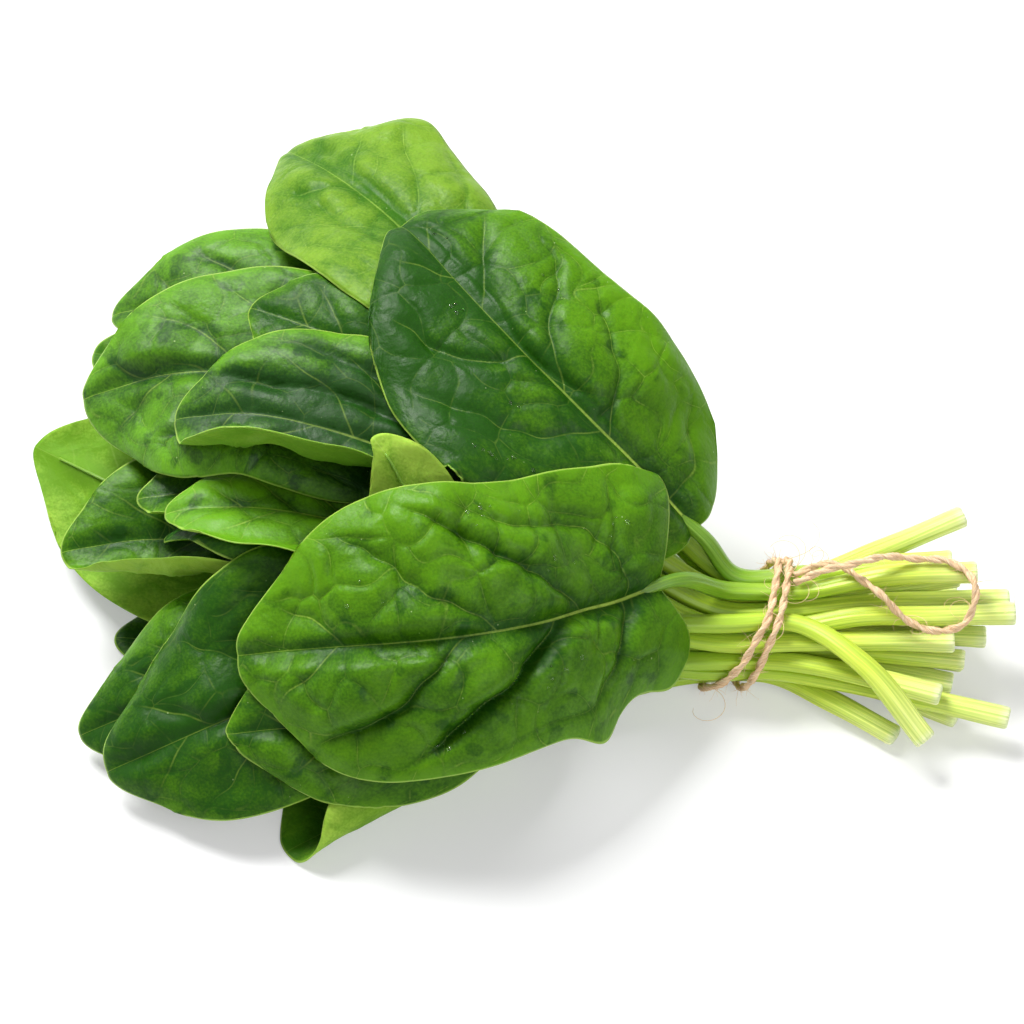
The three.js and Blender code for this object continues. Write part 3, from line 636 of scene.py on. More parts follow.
def grow_leaf(name, seed, blade, slot, spacing=1.1, pucker=0.8, ruffle=0.6, lumps=0.8, pairs=4.8,
              roots=None, turned=False, base=0.15, tip=(0.09, 0.09), blunt=0.0, fuller=(0.02, 0.02, 1.0),
              bulges=(), folds=(), fresh=(0.35, 0.0, 0.0), drops=()):
    """One whole leaf on the cage of the solid `name`, with a blade of the material `blade`. What is uneven
    in it comes from `seed`.
    spacing: between the points of its blade, in mm.
    pucker, ruffle and lumps: the heights of its swellings, of its wavy margin and of its creases, in mm.
    pairs: how many side veins it has on each side.
    roots: for the front and the back, where on the midrib each side vein leaves it, and how deep it lies.
    turned: whether its underside is up.
    base, tip: over which share of its length its corners are rounded, at the tip in front and behind.
    blunt: how far the very tip is drawn back, in mm.
    fuller: how much wider it gets towards its tip, in front and behind, and how much longer, in mm.
    bulges: lobes of its margin, each by its side, its place and half length along, and its size in mm.
    folds: valleys along it, each by its distance behind the midrib, its depth and its half width, in mm.
    fresh: how yellow-green it is, at its middle, how much more so at its tip, and towards its back edge.
    drops: clusters of water drops, each by its places along and across, as shares, and how many it has."""
    dice = random.Random(seed)
    top, bottom = cage_of(name)
    blade_top, blade_bottom = top[-BLADE_RINGS:], bottom[-BLADE_RINGS:]
    middle_column = int(np.argmax(np.linalg.norm(blade_top[0] - blade_bottom[0], axis=-1)))
    sheet = sheet_of(blade_top, blade_bottom, middle_column, turned, fuller)
    reach = far_along(sheet[WIDEST_RING])
    reach = reach - reach[middle_column]
    across_knots = np.where(reach < 0, reach / -reach[0], reach / reach[-1])
    along_knots = np.linspace(0, 1, BLADE_RINGS)

    def surface(along, across):
        columns = [through(along_knots, sheet[:, c], along) for c in range(sheet.shape[1])]
        return through(across_knots, np.stack(columns), across)

    def facing(along, across):
        """Which way the skin faces, taken a little inside its margin, where it is never pinched."""
        along, across = 0.06 + 0.88 * along, 0.88 * across
        ahead = surface(along + 0.02, across) - surface(along - 0.02, across)
        aside = surface(along, across + 0.03) - surface(along, across - 0.03)
        return unit(np.cross(aside, ahead))

    length = np.linalg.norm(np.diff(sheet[:, middle_column], axis=0), axis=-1).sum()
    rows = int(length / spacing) + 2
    columns = 2 * int(reach[-1] / spacing) + 3
    middle = columns // 2
    along, across = outline_grid(rows, columns, base, tip, blunt / length)
    places = surface(along, across)
    for margin_side, centre, spread_along, reaching in bulges:
        there = np.exp(-(((along - centre) / spread_along) ** 2)) * np.clip(margin_side * across, 0, 1) ** 4
        outer, inner = surface(np.array([centre, centre]), margin_side * np.array([1.0, 0.6]))
        places = places + reaching * there[:, None] * (unit(outer - inner) + np.array([0, 0, -0.3]))

    # The place of each point on the leaf laid flat: x along the midrib, y across it.
    shares = np.linspace(0, 1, 200)
    spine = surface(shares, np.zeros(200))
    steps_out = 9
    walked = np.zeros(len(along))
    last = surface(along, across * 0)
    for k in range(1, steps_out + 1):
        here = surface(along, across * k / steps_out)
        walked += np.linalg.norm(here - last, axis=-1)
        last = here
    foot = between(along, shares, spine)
    heading = unit(between(along, shares, unit(np.gradient(spine, axis=0))))
    forward = np.clip(((places - foot) * heading).sum(axis=-1), -walked, walked)
    x = np.interp(along, shares, far_along(spine)) + forward
    y = np.sign(across) * np.sqrt(np.maximum(walked**2 - forward**2, 0))
    share = np.clip(x / length, 0, 1.1)
    out = np.abs(y)
    half_width = out.max()
    near_margin = out / half_width
    grid = np.arange(rows * columns).reshape(rows, columns)
    rim = np.concatenate([grid[0, :-1], grid[:-1, -1], grid[-1, :0:-1], grid[:0:-1, 0]])
    edge = margin_distance(x, y, rim)

    # The side veins, and the net of fine veins on a net of cells that the material draws too.
    counts, depths = side_veins(dice, x, y, share, length, half_width, pairs, roots)
    side_count = np.where(y < 0, *counts)
    own_depth = np.where(y < 0, *depths)
    per_vein = vein_spacing(side_count, x, y, (rows, columns))
    warp = 0.22  # of a cell's size
    cells = np.stack([
        x / CELL + waves(dice, x, y, (14, 26)) * warp + dice.uniform(0, 40),
        y / CELL * 1.1 + waves(dice, x, y, (14, 26)) * warp + dice.uniform(0, 40),
        0 * x,
    ], axis=1)
    cell_depth = np.tanh(cell_borders(cells) / 0.16)
    from_vein = np.abs(side_count - np.round(side_count)) * per_vein
    vein_depth = 1 - own_depth * (1 - np.tanh(from_vein / VEIN_VALLEY)) * smooth_step(2.0, 14.0, edge)

    # The swellings between the veins.
    inward = smooth_step(0.0, 10.0, edge)
    from_rib = smooth_step(0.0, 6.0, out)
    uneven = 0.75 + 0.45 * waves(dice, x, y, (22, 40))
    swelling = 1.15 * vein_depth * from_rib + 0.5 * uneven * cell_depth * smooth_step(0, 3, out) - 0.8
    lift = pucker * swelling * (0.15 + 0.85 * inward)
    # Low lumps with creases between them, 22 to 75 mm long.
    creased = np.abs(waves(dice, x, y, (38, 75))) + 0.6 * np.abs(waves(dice, x, y, (22, 40)))
    lumpy = 0.7 * waves(dice, x, y, (28, 50)) + 0.9 * creased - 0.9
    lift = lift + lumps * lumpy * from_rib * (0.4 + 0.6 * inward)
    # The valley that the midrib lies in, 2.2 mm deep at the base, and the folds.
    lift = lift - 2.2 * (1 - np.tanh(out / 4.5)) * (1 - 0.6 * share)
    hollow = np.zeros(len(x))
    for middle_line, depth, wide in folds:
        away = np.abs(y - middle_line * (0.75 + 0.5 * share) - 1.5 * waves(dice, x, y, (30, 60)))
        hollow += depth * (1 - np.tanh(away / wide)) * smooth_step(0.0, 0.2, share) * inward
    lift = lift - hollow
    # The margin waves, most of all near the base, and turns down by 1.3 mm.
    way = np.arctan2(y, (x - length * 0.5) * 0.8)
    ripple = sum(np.sin(way * k + dice.uniform(0, 6.3)) for k in (3, 5, 8)) / 2.2
    near_base = 1 - smooth_step(0.06, 0.34, share)
    lift = lift + ruffle * ripple * (1 + 1.6 * near_base) * (1 - smooth_step(0.0, 14.0, edge))
    lift = lift - 1.3 * (1 - np.tanh(edge / 4.0))

    # The blade is lifted by that, laid on the heap, and given its thickness.
    upper = unit(blade_top - blade_bottom)[:, middle_column].mean(axis=0) * (-1 if turned else 1)

    def upward(normals):
        return -normals if (normals[rows // 2, middle] * upper).sum() < 0 else normals

    normal = upward(facing(along, across).reshape(rows, columns, 3))
    grid_points = places.reshape(rows, columns, 3) + normal * lift.reshape(rows, columns, 1)
    off_stalk = smooth_step(0, 12, np.hypot(x, y))
    grid_points[..., 2] += lift_off_heap(grid_points.reshape(-1, 3), rows, columns, off_stalk)
    bent = upward(unit(np.cross(np.gradient(grid_points, axis=1), np.gradient(grid_points, axis=0))))
    agree = (bent * normal).sum(axis=-1, keepdims=True)
    normal = unit(np.where(agree > 0.3, bent, normal))
    half_thick = (BLADE / 2 * np.sqrt(np.clip(edge / 0.9, 0, 1) * 0.75 + 0.25)).reshape(rows, columns, 1)
    upper_side = (grid_points + normal * half_thick).reshape(-1, 3)
    lower_side = (grid_points - normal * half_thick).reshape(-1, 3)

    # Faces: the upper side, the lower side and the strip round the margin.
    quads = np.stack([grid[:-1, :-1], grid[:-1, 1:], grid[1:, 1:], grid[1:, :-1]], axis=-1).reshape(-1, 4)
    count = rows * columns
    following = np.roll(rim, -1)
    strip = np.stack([rim, rim + count, following + count, following], axis=-1)
    corner, beside, _, behind = upper_side[quads[0]]
    outward = (np.cross(beside - corner, behind - corner) * (upper_side - lower_side)[0]).sum() > 0
    if outward:
        face_sets = [quads, quads[:, ::-1] + count, strip]
    else:
        face_sets = [quads[:, ::-1], quads + count, strip[:, ::-1]]
    # How yellow-green the blade is at its middle, towards its tip and towards its back edge; painted shade
    # is added to it below.
    freshness_and_valley_shade = fresh[0] + fresh[1] * (2 * share - 1) + fresh[2] * y / half_width
    # What the blade's material has to know at each point.
    facts = {
        "place": np.stack([x, y, share], axis=1),
        "veins": np.stack([*counts, per_vein], axis=1),
        "cells": cells,
        "margin": edge,
        # Lighter towards the margin, and painted shade: darker in the valleys of the side veins, along the
        # net of fine veins and in the folds.
        "freshness_and_valley_shade": freshness_and_valley_shade + 0.26 * near_margin - 0.13 + 0.22 * (vein_depth - 0.9)
        + 0.14 * (cell_depth - 0.8) - 0.15 * hollow,
    }
    facts = {fact: np.concatenate([values, values]) for fact, values in facts.items()}
    facts["upper_side"] = np.repeat([1.0, 0.0], count)
    shape = Shape()
    shape.add(np.concatenate([upper_side, lower_side]), face_sets, **facts)

    for along_here, across_here, number in drops:
        for _ in range(number):
            row = int(rows * (along_here + dice.gauss(0, 0.03)))
            column = int(columns * (0.5 + across_here / 2 + dice.gauss(0, 0.03)))
            up = normal[row, column]
            add_drop(shape, grid_points[row, column] + up * BLADE / 2, up, dice.uniform(0.25, 0.85), dice)
    rib = grid_points[:, middle], -normal[:, middle], x.reshape(rows, columns)[:, middle]
    add_stalk(shape, dice, top, bottom, middle_column, *rib, length, turned)
    for points in shape.points:
        add_to_heap(points)
    finishes = [blade, STALK, WATER] if drops else [blade, STALK]
    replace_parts(shape.piece(name + "_grown", finishes, slot), name)


def add_drop(shape, place, up, radius, dice):
    """One low drop of water that stands on the blade."""
    levels, around = 6, 12
    aside = unit(np.cross(up, np.array([0.31, 0.95, 0.05])))
    other = np.cross(up, aside)
    turns = np.linspace(0, 2 * math.pi, around, endpoint=False)
    uneven = 1 + 0.12 * np.cos(turns + dice.uniform(0, 6)) + 0.06 * np.cos(2 * turns)
    flat = np.cos(turns)[:, None] * aside + np.sin(turns)[:, None] * other
    points = []
    for tilt in np.linspace(0, math.pi / 2 * 0.96, levels):
        wide, high = radius * math.cos(tilt), radius * 0.55 * math.sin(tilt) - 0.05
        points.append(place + wide * uneven[:, None] * flat + high * up)
    rings = np.arange(levels * around).reshape(levels, around)
    odd = np.arange(1, around - 1, 2)
    under = np.stack([0 * odd, odd + 2, odd + 1, odd], axis=-1)
    lid = np.stack([0 * odd, odd, odd + 1, odd + 2], axis=-1) + rings[-1, 0]
    shape.add(np.concatenate(points), [ring_faces(rings), under, lid], finish=2)


def add_stalk(shape, dice, top, bottom, middle_column, rib_line, rib_down, rib_x, length, turned):
    """The stalk from its cut end, and the midrib that it becomes under the blade, as one tube."""
    stalk_top, stalk_bottom = top[:-BLADE_RINGS], bottom[:-BLADE_RINGS]
    centres = np.concatenate([stalk_top, stalk_bottom], axis=1).mean(axis=1)
    wide = (stalk_top[:, -1] + stalk_bottom[:, -1] - stalk_top[:, 0] - stalk_bottom[:, 0]) / 4
    half_wide = np.linalg.norm(wide, axis=-1)
    high = stalk_top[:, middle_column] - stalk_bottom[:, middle_column]
    half_high = np.linalg.norm(high, axis=-1) / 2
    shares = np.linspace(0, 1, 14)
    rib_reach = shares * 0.93 * length
    rib_downs = unit(between(rib_reach, rib_x, rib_down))
    rib_high = 1.45 * (1 - shares) ** 1.1 + 0.28  # mm, half of what the midrib measures
    rib_wide = 1.5 * (1 - shares) ** 1.5 + 0.32
    sunk = (rib_high + 0.15) * smooth_step(-0.03, 0.12, shares) + 0.15
    rib_centres = between(rib_reach, rib_x, rib_line) + rib_downs * sunk[:, None]
    line = np.concatenate([centres, rib_centres[1:]])
    knots = far_along(line)
    steps = np.concatenate([[0, 0.35, 0.9], np.arange(0, knots[-1], STALK_STEP)[2:]])
    points = through(knots, line, steps)
    wide_here = np.interp(steps, knots, np.concatenate([half_wide * 1.06, rib_wide[1:]]))
    high_here = np.interp(steps, knots, np.concatenate([half_high * 1.07, rib_high[1:]]))
    ahead = unit(np.gradient(points, axis=0))
    up = through(knots, np.concatenate([unit(high) * (-1 if turned else 1), -rib_downs[1:]]), steps)
    up = unit(up - ahead * (up * ahead).sum(axis=-1, keepdims=True))
    around = np.linspace(0, 2 * math.pi, STALK_CORNERS, endpoint=False)
    stalk_end = knots[len(centres) - 1]
    # A groove runs along the top, fine ridges all round, and the cut end is a little rounded.
    groove = 0.20 * (1 - 0.6 * smooth_step(stalk_end, knots[-1], steps))
    phase = [dice.uniform(0, 2 * math.pi) for _ in range(4)]
    swell = 1 + 0.035 * np.sin(steps / 9.0 + phase[0]) + 0.025 * np.sin(steps / 4.1 + phase[1])
    ridges = 0.055 * np.cos(7 * around[None] + phase[2] + 0.02 * steps[:, None])
    ridges = ridges + 0.025 * np.cos(12 * around[None] + phase[3])
    from_top = np.abs((around + math.pi) % (2 * math.pi) - math.pi)
    dip = np.exp(-((from_top / 0.42) ** 2))[None] * groove[:, None]
    rounding = np.ones(len(steps))
    rounding[:2] = 0.80, 0.96
    usual_radius = 2.2  # mm
    reach = (1 - dip + ridges) * swell[:, None] * rounding[:, None]
    section = np.stack([
        wide_here[:, None] * np.sin(around)[None] * reach,
        high_here[:, None] * np.cos(around)[None] * reach,
    ], axis=-1)
    stalk_place = np.stack([
        np.repeat(steps, STALK_CORNERS),
        np.tile(around, len(steps)) * usual_radius,
        np.repeat(np.clip(steps / stalk_end, 0, 2), STALK_CORNERS),
    ], axis=1)
    add_tube(shape, points, (np.cross(ahead, up), up), section, finish=1, stalk_place=stalk_place)


def blade_material(name, dark, light, vein, under, gloss, blotted, shine=0.14):
    """A living blade: waxy and smooth above over soft green tissue, with paler veins; dull and paler below.
    Its tissue lies between the colours dark and light. gloss is its roughness above, blotted is how dark
    its blots are, and shine is how strongly its wax reflects. A Mix node's inputs 2 and 3 are the two
    numbers that it mixes, and 6 and 7 the two colours."""
    material, tree = new_material(name)
    place, veins, cells = (
        node(tree, "ShaderNodeAttribute", attribute_name=fact).outputs["Vector"]
        for fact in ("place", "veins", "cells")
    )
    margin, upper, fresh = (
        node(tree, "ShaderNodeAttribute", attribute_name=fact).outputs["Fac"]
        for fact in ("margin", "upper_side", "freshness_and_valley_shade")
    )
    _, y, share = node(tree, "ShaderNodeSeparateXYZ", {0: place}).outputs
    front, back, per_vein = node(tree, "ShaderNodeSeparateXYZ", {0: veins}).outputs

    # Uneven tissue. A scale is one over a size in mm: the tissue ripens over 20 mm and in patches of 6 mm,
    # with blots 4 to 9 mm across, crinkles of 2 mm and a grain of 0.7 mm.
    broad, patches, blots, crinkle, grain = (
        node(tree, "ShaderNodeTexNoise", {
            "Vector": place, "Scale": scale, "Detail": detail, "Roughness": roughness,
        })
        for scale, detail, roughness in (
            (0.05, 3.0, 0.55), (0.16, 4.0, 0.6), (0.13, 1.5, 0.5), (0.45, 3.0, 0.5), (1.4, 3.0, 0.5),
        )
    )
    # The net of fine veins, and a finer one that only swells the skin.
    net, fine_net = (
        node(
            tree, "ShaderNodeTexVoronoi", {"Vector": cells, "Scale": scale},
            voronoi_dimensions="2D", feature="DISTANCE_TO_EDGE",
        )
        for scale in (1.0, 4.5)
    )
    specks = node(tree, "ShaderNodeTexVoronoi", {"Vector": place, "Scale": 0.3})

    # How far each place is from the midrib and from its side vein, in mm.
    out = node(tree, "ShaderNodeMath", {0: y}, operation="ABSOLUTE")
    behind = node(tree, "ShaderNodeMath", {0: y, 1: 0.0}, operation="GREATER_THAN")
    count = node(tree, "ShaderNodeMix", {"Factor": behind, 2: front, 3: back}, data_type="FLOAT")
    nearest = node(tree, "ShaderNodeMath", {0: count}, operation="ROUND")
    past_vein = node(tree, "ShaderNodeMath", {0: count, 1: nearest}, operation="SUBTRACT")
    off_vein = node(tree, "ShaderNodeMath", {0: past_vein}, operation="ABSOLUTE")
    from_vein = node(tree, "ShaderNodeMath", {0: off_vein, 1: per_vein}, operation="MULTIPLY")

    # Soft steps: what each depends on, where it starts and ends, and what it is there. Widths are in mm.
    # The veins thin out towards the margin and the tip.
    soft = {}
    for part, *row in (
        ("vein width", out, 0.0, 30.0, 0.42, 0.14),
        ("rib width", share, 0.0, 0.9, 0.66, 0.12),
        ("side valley", from_vein, VEIN_VALLEY, 0.0, 0.0, 1.0),
        ("off margin", margin, 3.0, 13.0, 0.0, 1.0),
        ("vein patches", patches, 0.36, 0.6, 0.35, 1.0),
        ("rib along", share, 0.0, 0.6, 1.3, 0.42),
        ("rib patches", patches, 0.3, 0.6, 0.65, 1.0),
        ("net line", net, 0.024, 0.004, 0.0, 1.0),
        ("net patches", patches, 0.44, 0.6, 0.15, 1.0),
        ("net valley", net, 0.0, 0.16, 0.0, 1.0),
        ("fine valley", fine_net, 0.0, 0.35, 0.0, 1.0),
        ("rim", margin, 0.6, 0.15, 0.0, 1.0),
        ("speck", specks, 0.075, 0.045, 0.0, 1.0),
        ("speck patches", patches, 0.50, 0.62, 0.0, 1.0),
        ("side", upper, 0.0, 1.0, -0.9, 1.0),
        ("roughness", patches, 0.35, 0.65, gloss - 0.06, gloss + 0.08),
    ):
        soft[part] = node(tree, "ShaderNodeMapRange", enumerate(row), interpolation_type="SMOOTHSTEP")

    # How yellow-green the tissue is, and its painted shade. Each row makes it fresher or darker: by patches
    # and blots, towards the margin, and with painted shade in the valleys along the veins and the midrib.
    for row in (
        (broad, 0.3, 0.7, -0.15, 0.15),
        (patches, 0.36, 0.64, 0.06, -0.06),
        (blots, 0.60, 0.68, 0.0, -blotted),
        (margin, 5.0, 0.0, 0.0, 0.16),
        # Painted shade: darker in the valleys along the net, beside the side veins and beside the midrib.
        (net, 0.08, 0.0, 0.0, -0.06),
        (from_vein, 1.2, 0.0, 0.0, -0.12),
        (out, 5.0, 1.0, 0.0, -0.2),
        (grain, 0.3, 0.7, -0.10, 0.10),
    ):
        change = node(tree, "ShaderNodeMapRange", enumerate(row), interpolation_type="SMOOTHSTEP")
        fresh = node(tree, "ShaderNodeMath", {0: fresh, 1: change}, operation="ADD")
    ripeness_and_shade, line_strength, rib_strength = (
        node(tree, "ShaderNodeMapRange", enumerate((fresh, *row)), interpolation_type="SMOOTHSTEP")
        for row in ((0.0, 1.0, 0.0, 1.0), (0.1, 0.8, 0.22, 0.66), (0.0, 0.4, 0.6, 1.0))
    )

    # The pale lines, which are the side veins, the net and the midrib, and the specks and the rim, whose
    # pale colour is partly a painted highlight where the margin catches the light. Each is as strong as its
    # factors together.
    rib_reach = node(tree, "ShaderNodeMath", {0: out, 1: soft["rib width"]}, operation="DIVIDE")
    rib, side_vein = (
        node(tree, "ShaderNodeMapRange", enumerate(row), interpolation_type="SMOOTHSTEP")
        for row in ((rib_reach, 1.15, 0.5, 0.0, 1.0), (from_vein, soft["vein width"], 0.02, 0.0, 1.0))
    )
    strengths = []
    for strength, *factors in (
        (side_vein, soft["off margin"], soft["vein patches"]),
        (soft["net line"], soft["net patches"], 0.42),
        (rib, soft["rib along"], soft["rib patches"], rib_strength),
        (soft["speck"], soft["speck patches"], 0.45),
        (soft["rim"], 0.8),
    ):
        for factor in factors:
            strength = node(tree, "ShaderNodeMath", {0: strength, 1: factor}, operation="MULTIPLY")
        strengths.append(strength)
    side_line, net_line, rib_line, speck, rim = strengths
    line = node(tree, "ShaderNodeMath", {0: side_line, 1: net_line}, operation="MAXIMUM")
    line = node(tree, "ShaderNodeMath", {0: line, 1: line_strength}, operation="MULTIPLY")
    line = node(tree, "ShaderNodeMath", {0: line, 1: rib_line}, operation="MAXIMUM")
    faint_line = node(tree, "ShaderNodeMath", {0: line, 1: 0.7}, operation="MULTIPLY")

    # The colours, laid over each other. The specks are pale, 0.4 mm across and in groups. The pale rim is
    # partly a painted highlight along the margin.
    sides = []
    for colour, *layers in (
        (linear("#62901c"), (ripeness_and_shade, under), (faint_line, "#aec566")),
        (linear(dark), (ripeness_and_shade, light), (line, vein), (rim, "#9cbe50"), (speck, "#c3d79a")),
    ):
        for strength, laid_on in layers:
            colour = node(
                tree, "ShaderNodeMix", {"Factor": strength, 6: colour, 7: linear(laid_on)}, data_type="RGBA"
            )
        sides.append(colour)
    below, above = sides
    colour = node(tree, "ShaderNodeMix", {"Factor": upper, 6: below, 7: above}, data_type="RGBA")

    # Fine relief, too small for the mesh: net and crinkles swell the skin, side veins sink in it.
    height = 0.0
    for part, size in (
        (soft["net valley"], 0.22), (soft["fine valley"], 0.10), (crinkle, 1.1),
        (soft["side valley"], -0.22),
    ):
        height = node(tree, "ShaderNodeMath", {0: part, 1: size, 2: height}, operation="MULTIPLY_ADD")
    height = node(tree, "ShaderNodeMath", {0: height, 1: soft["side"]}, operation="MULTIPLY")
    bump = node(tree, "ShaderNodeBump", {"Height": height, "Strength": 0.5, "Distance": 0.5 * MM})
    rough = node(tree, "ShaderNodeMix", {"Factor": upper, 2: 0.62, 3: soft["roughness"]}, data_type="FLOAT")
    skin = node(tree, "ShaderNodeBsdfPrincipled", {
        "Base Color": colour, "Normal": bump, "Roughness": rough, "IOR": 1.45, "Specular IOR Level": shine,
        "Subsurface Weight": 0.18, "Subsurface Radius": (0.5, 1.0, 0.2), "Subsurface Scale": 1.2 * MM,
    })
    node(tree, "ShaderNodeOutputMaterial", {"Surface": skin})
    return material


def stalk_skin():
    """A juicy stalk: smooth skin over wet pale tissue, striped lengthwise, and greener and darker near the
    blade, where the darkness is partly painted shade.
    """
    material, tree = new_material("spinach_stalk_skin")
    place = node(tree, "ShaderNodeAttribute", attribute_name="stalk_place").outputs["Vector"]
    to_blade = node(tree, "ShaderNodeSeparateXYZ", {0: place}).outputs["Z"]
    # Strands under the skin run 0.4 to 0.8 mm apart round the stalk and for 40 mm or more along it.
    stretched = node(tree, "ShaderNodeVectorMath", {0: place, 1: (0.025, 1.9, 0.0)}, operation="MULTIPLY")
    stripes = node(tree, "ShaderNodeTexNoise", {"Vector": stretched, "Scale": 1.0, "Detail": 3.0})
    # From the cut end, which is nearly white, to the blade, where it is green and darker; the darkest greens
    # near the blade are partly painted shade where the stalks crowd under the leaves.
    along = node(tree, "ShaderNodeValToRGB", {"Fac": to_blade})
    lay_colours(along, (
        (0.0, "#f6f8d2"), (0.02, "#eff59c"), (0.2, "#deec5c"), (0.5, "#b4d23a"), (0.8, "#6f9e22"),
        (1.0, "#5c8a1e"),
    ))
    streak = node(tree, "ShaderNodeMapRange", enumerate((stripes, 0.35, 0.65, 0.0, 0.62)))
    striped = node(
        tree, "ShaderNodeMix", {"Factor": streak, 6: along, 7: linear("#8db430")}, data_type="RGBA"
    )
    bump = node(tree, "ShaderNodeBump", {"Height": stripes, "Strength": 0.35, "Distance": 0.3 * MM})
    skin = node(tree, "ShaderNodeBsdfPrincipled", {
        "Base Color": striped, "Normal": bump, "Roughness": 0.36, "IOR": 1.42, "Subsurface Weight": 0.35,
        "Subsurface Radius": (1.0, 1.2, 0.3), "Subsurface Scale": 2.0 * MM,
    })
    node(tree, "ShaderNodeOutputMaterial", {"Surface": skin})
    return material


def water():
    """Clear water: it bends what lies under it and mirrors the lamps in a small bright point."""
    material, tree = new_material("water")
    drop = node(tree, "ShaderNodeBsdfPrincipled", {
        "Base Color": (1, 1, 1, 1), "Roughness": 0.02, "IOR": 1.33, "Transmission Weight": 1.0,
    })
    node(tree, "ShaderNodeOutputMaterial", {"Surface": drop})
    return material


WATER = water()
STALK = stalk_skin()
# Full-grown blades are dark. On some the bloom of wax is thicker and gives a broad satin light. Younger
# blades are lighter, and the youngest, with the leaves that lie underside up, are pale.
DARK = blade_material("spinach_blade_dark", "#1b4606", "#578a0e", "#a8c552", "#8bb036", 0.41, 0.24)
WAXY = blade_material("spinach_blade_waxy", "#143e04", "#5c930f", "#a8c552", "#8bb036", 0.50, 0.24, 0.26)
MIDDLE = blade_material("spinach_blade_middle", "#2f6008", "#73982a", "#9cbc50", "#8fb340", 0.42, 0.10)
# The pale underside colour is partly painted light: it is lightened so that the leaf at the tip, in the
# shade of the top leaves, shows light.
PALE = blade_material("spinach_blade_pale", "#3c7010", "#76a426", "#a4c35c", "#a6ca4a", 0.48, 0.05)

# The lowest leaves lie on the surface, and carry the rest.
grow_leaf("leaf_floor_middle", 44, MIDDLE, "leaf_mid", spacing=1.6, pairs=4.5)
grow_leaf("leaf_floor_back", 45, MIDDLE, "leaf_mid", spacing=1.6, pairs=4.5)
grow_leaf("leaf_rolled", 38, PALE, "leaf_pale", pucker=0.4, ruffle=0.3, lumps=0.3, pairs=4.5)
grow_leaf("leaf_front_floor", 39, DARK, "leaf_mid", spacing=1.4, pairs=4.5)
grow_leaf("leaf_left_pale", 33, PALE, "leaf_pale", pucker=0.7, turned=True, tip=(0.15, 0.03),
          fuller=(0, 0.3, 0), fresh=(0.26, 0, 0))

# Next come the front, back and left sides of the heap, and the small cupped leaves at the left.
grow_leaf("leaf_front_left_back", 36, DARK, "leaf_dark", fresh=(0.18, 0.2, 0.2))
grow_leaf("leaf_back_low", 28, MIDDLE, "leaf_mid", spacing=1.6, pairs=4.5)
grow_leaf("leaf_flank_low", 42, MIDDLE, "leaf_mid", spacing=1.4, pairs=4.5)
grow_leaf("leaf_left_cupped", 29, DARK, "leaf_mid", ruffle=0.5, pairs=4.5, fresh=(0.42, 0.2, -0.3))
grow_leaf("leaf_left_dark", 32, DARK, "leaf_dark", pairs=4, fresh=(0.1, 0, 0))
grow_leaf("leaf_front_left", 35, DARK, "leaf_dark", pucker=1.0, lumps=1.4, pairs=4.2,
          fresh=(0.18, 0.2, -0.1))
grow_leaf("leaf_front_low", 37, DARK, "leaf_dark", pucker=1.1, lumps=1.4, pairs=4.5, fresh=(0.3, 0.2, 0))
grow_leaf("leaf_cup_small", 30, DARK, "leaf_dark", pucker=0.5, ruffle=0.3, lumps=0.3, pairs=4,
          fresh=(0.3, 0.3, 0))
grow_leaf("leaf_mid_inner", 40, DARK, "leaf_dark", spacing=1.4, pairs=4.5)
grow_leaf("leaf_mid_folded", 31, WAXY, "leaf_dark", pucker=0.9, ruffle=0.5, pairs=4, fresh=(0.8, 0.2, 0.2))
grow_leaf("leaf_back_upper", 27, WAXY, "leaf_mid", pucker=1.2, pairs=4.5, fuller=(0, 0.15, 3),
          fresh=(0.5, 0.2, 0))
grow_leaf("leaf_flank_upper", 43, DARK, "leaf_mid", spacing=1.3)
grow_leaf("leaf_under_top", 41, DARK, "leaf_mid", spacing=1.4, pairs=4.5)

# The upper leaves: broad, glossy and puckered.
grow_leaf("leaf_left_broad", 25, WAXY, "leaf_mid", pucker=1.6, lumps=1.9, pairs=4.2,
          fuller=(0.03, 0.03, 2.5), fresh=(0.42, 0.3, 0))
grow_leaf("leaf_small_lobe", 26, DARK, "leaf_mid", pairs=4, fresh=(0.3, 0.2, 0))
grow_leaf("leaf_folded", 24, WAXY, "leaf_dark", pucker=1.5, lumps=1.7, pairs=3.6, tip=(0.3, 0.09),
          folds=((9, 4.8, 3.8), (20, 2.6, 3.0)), fuller=(0, 0.25, 2.5), fresh=(0.24, 0.24, 0.14))
# Its high freshness is partly painted light, which lightens it where it lies in the shade of the top leaves.
grow_leaf("leaf_tip_pale", 34, PALE, "leaf_pale", pucker=0.4, ruffle=0.4, pairs=4, turned=True,
          fresh=(0.9, 0, 0))
grow_leaf("leaf_top_back", 23, MIDDLE, "leaf_mid", pucker=0.9, lumps=1.3, tip=(0.24, 0.06),
          fuller=(0, 0.15, 9), bulges=((1, 0.93, 0.08, 3.5),), folds=((4.5, 2.0, 2.2), (-10, 1.3, 2.5)),
          fresh=(0.6, 0.1, 0.1))

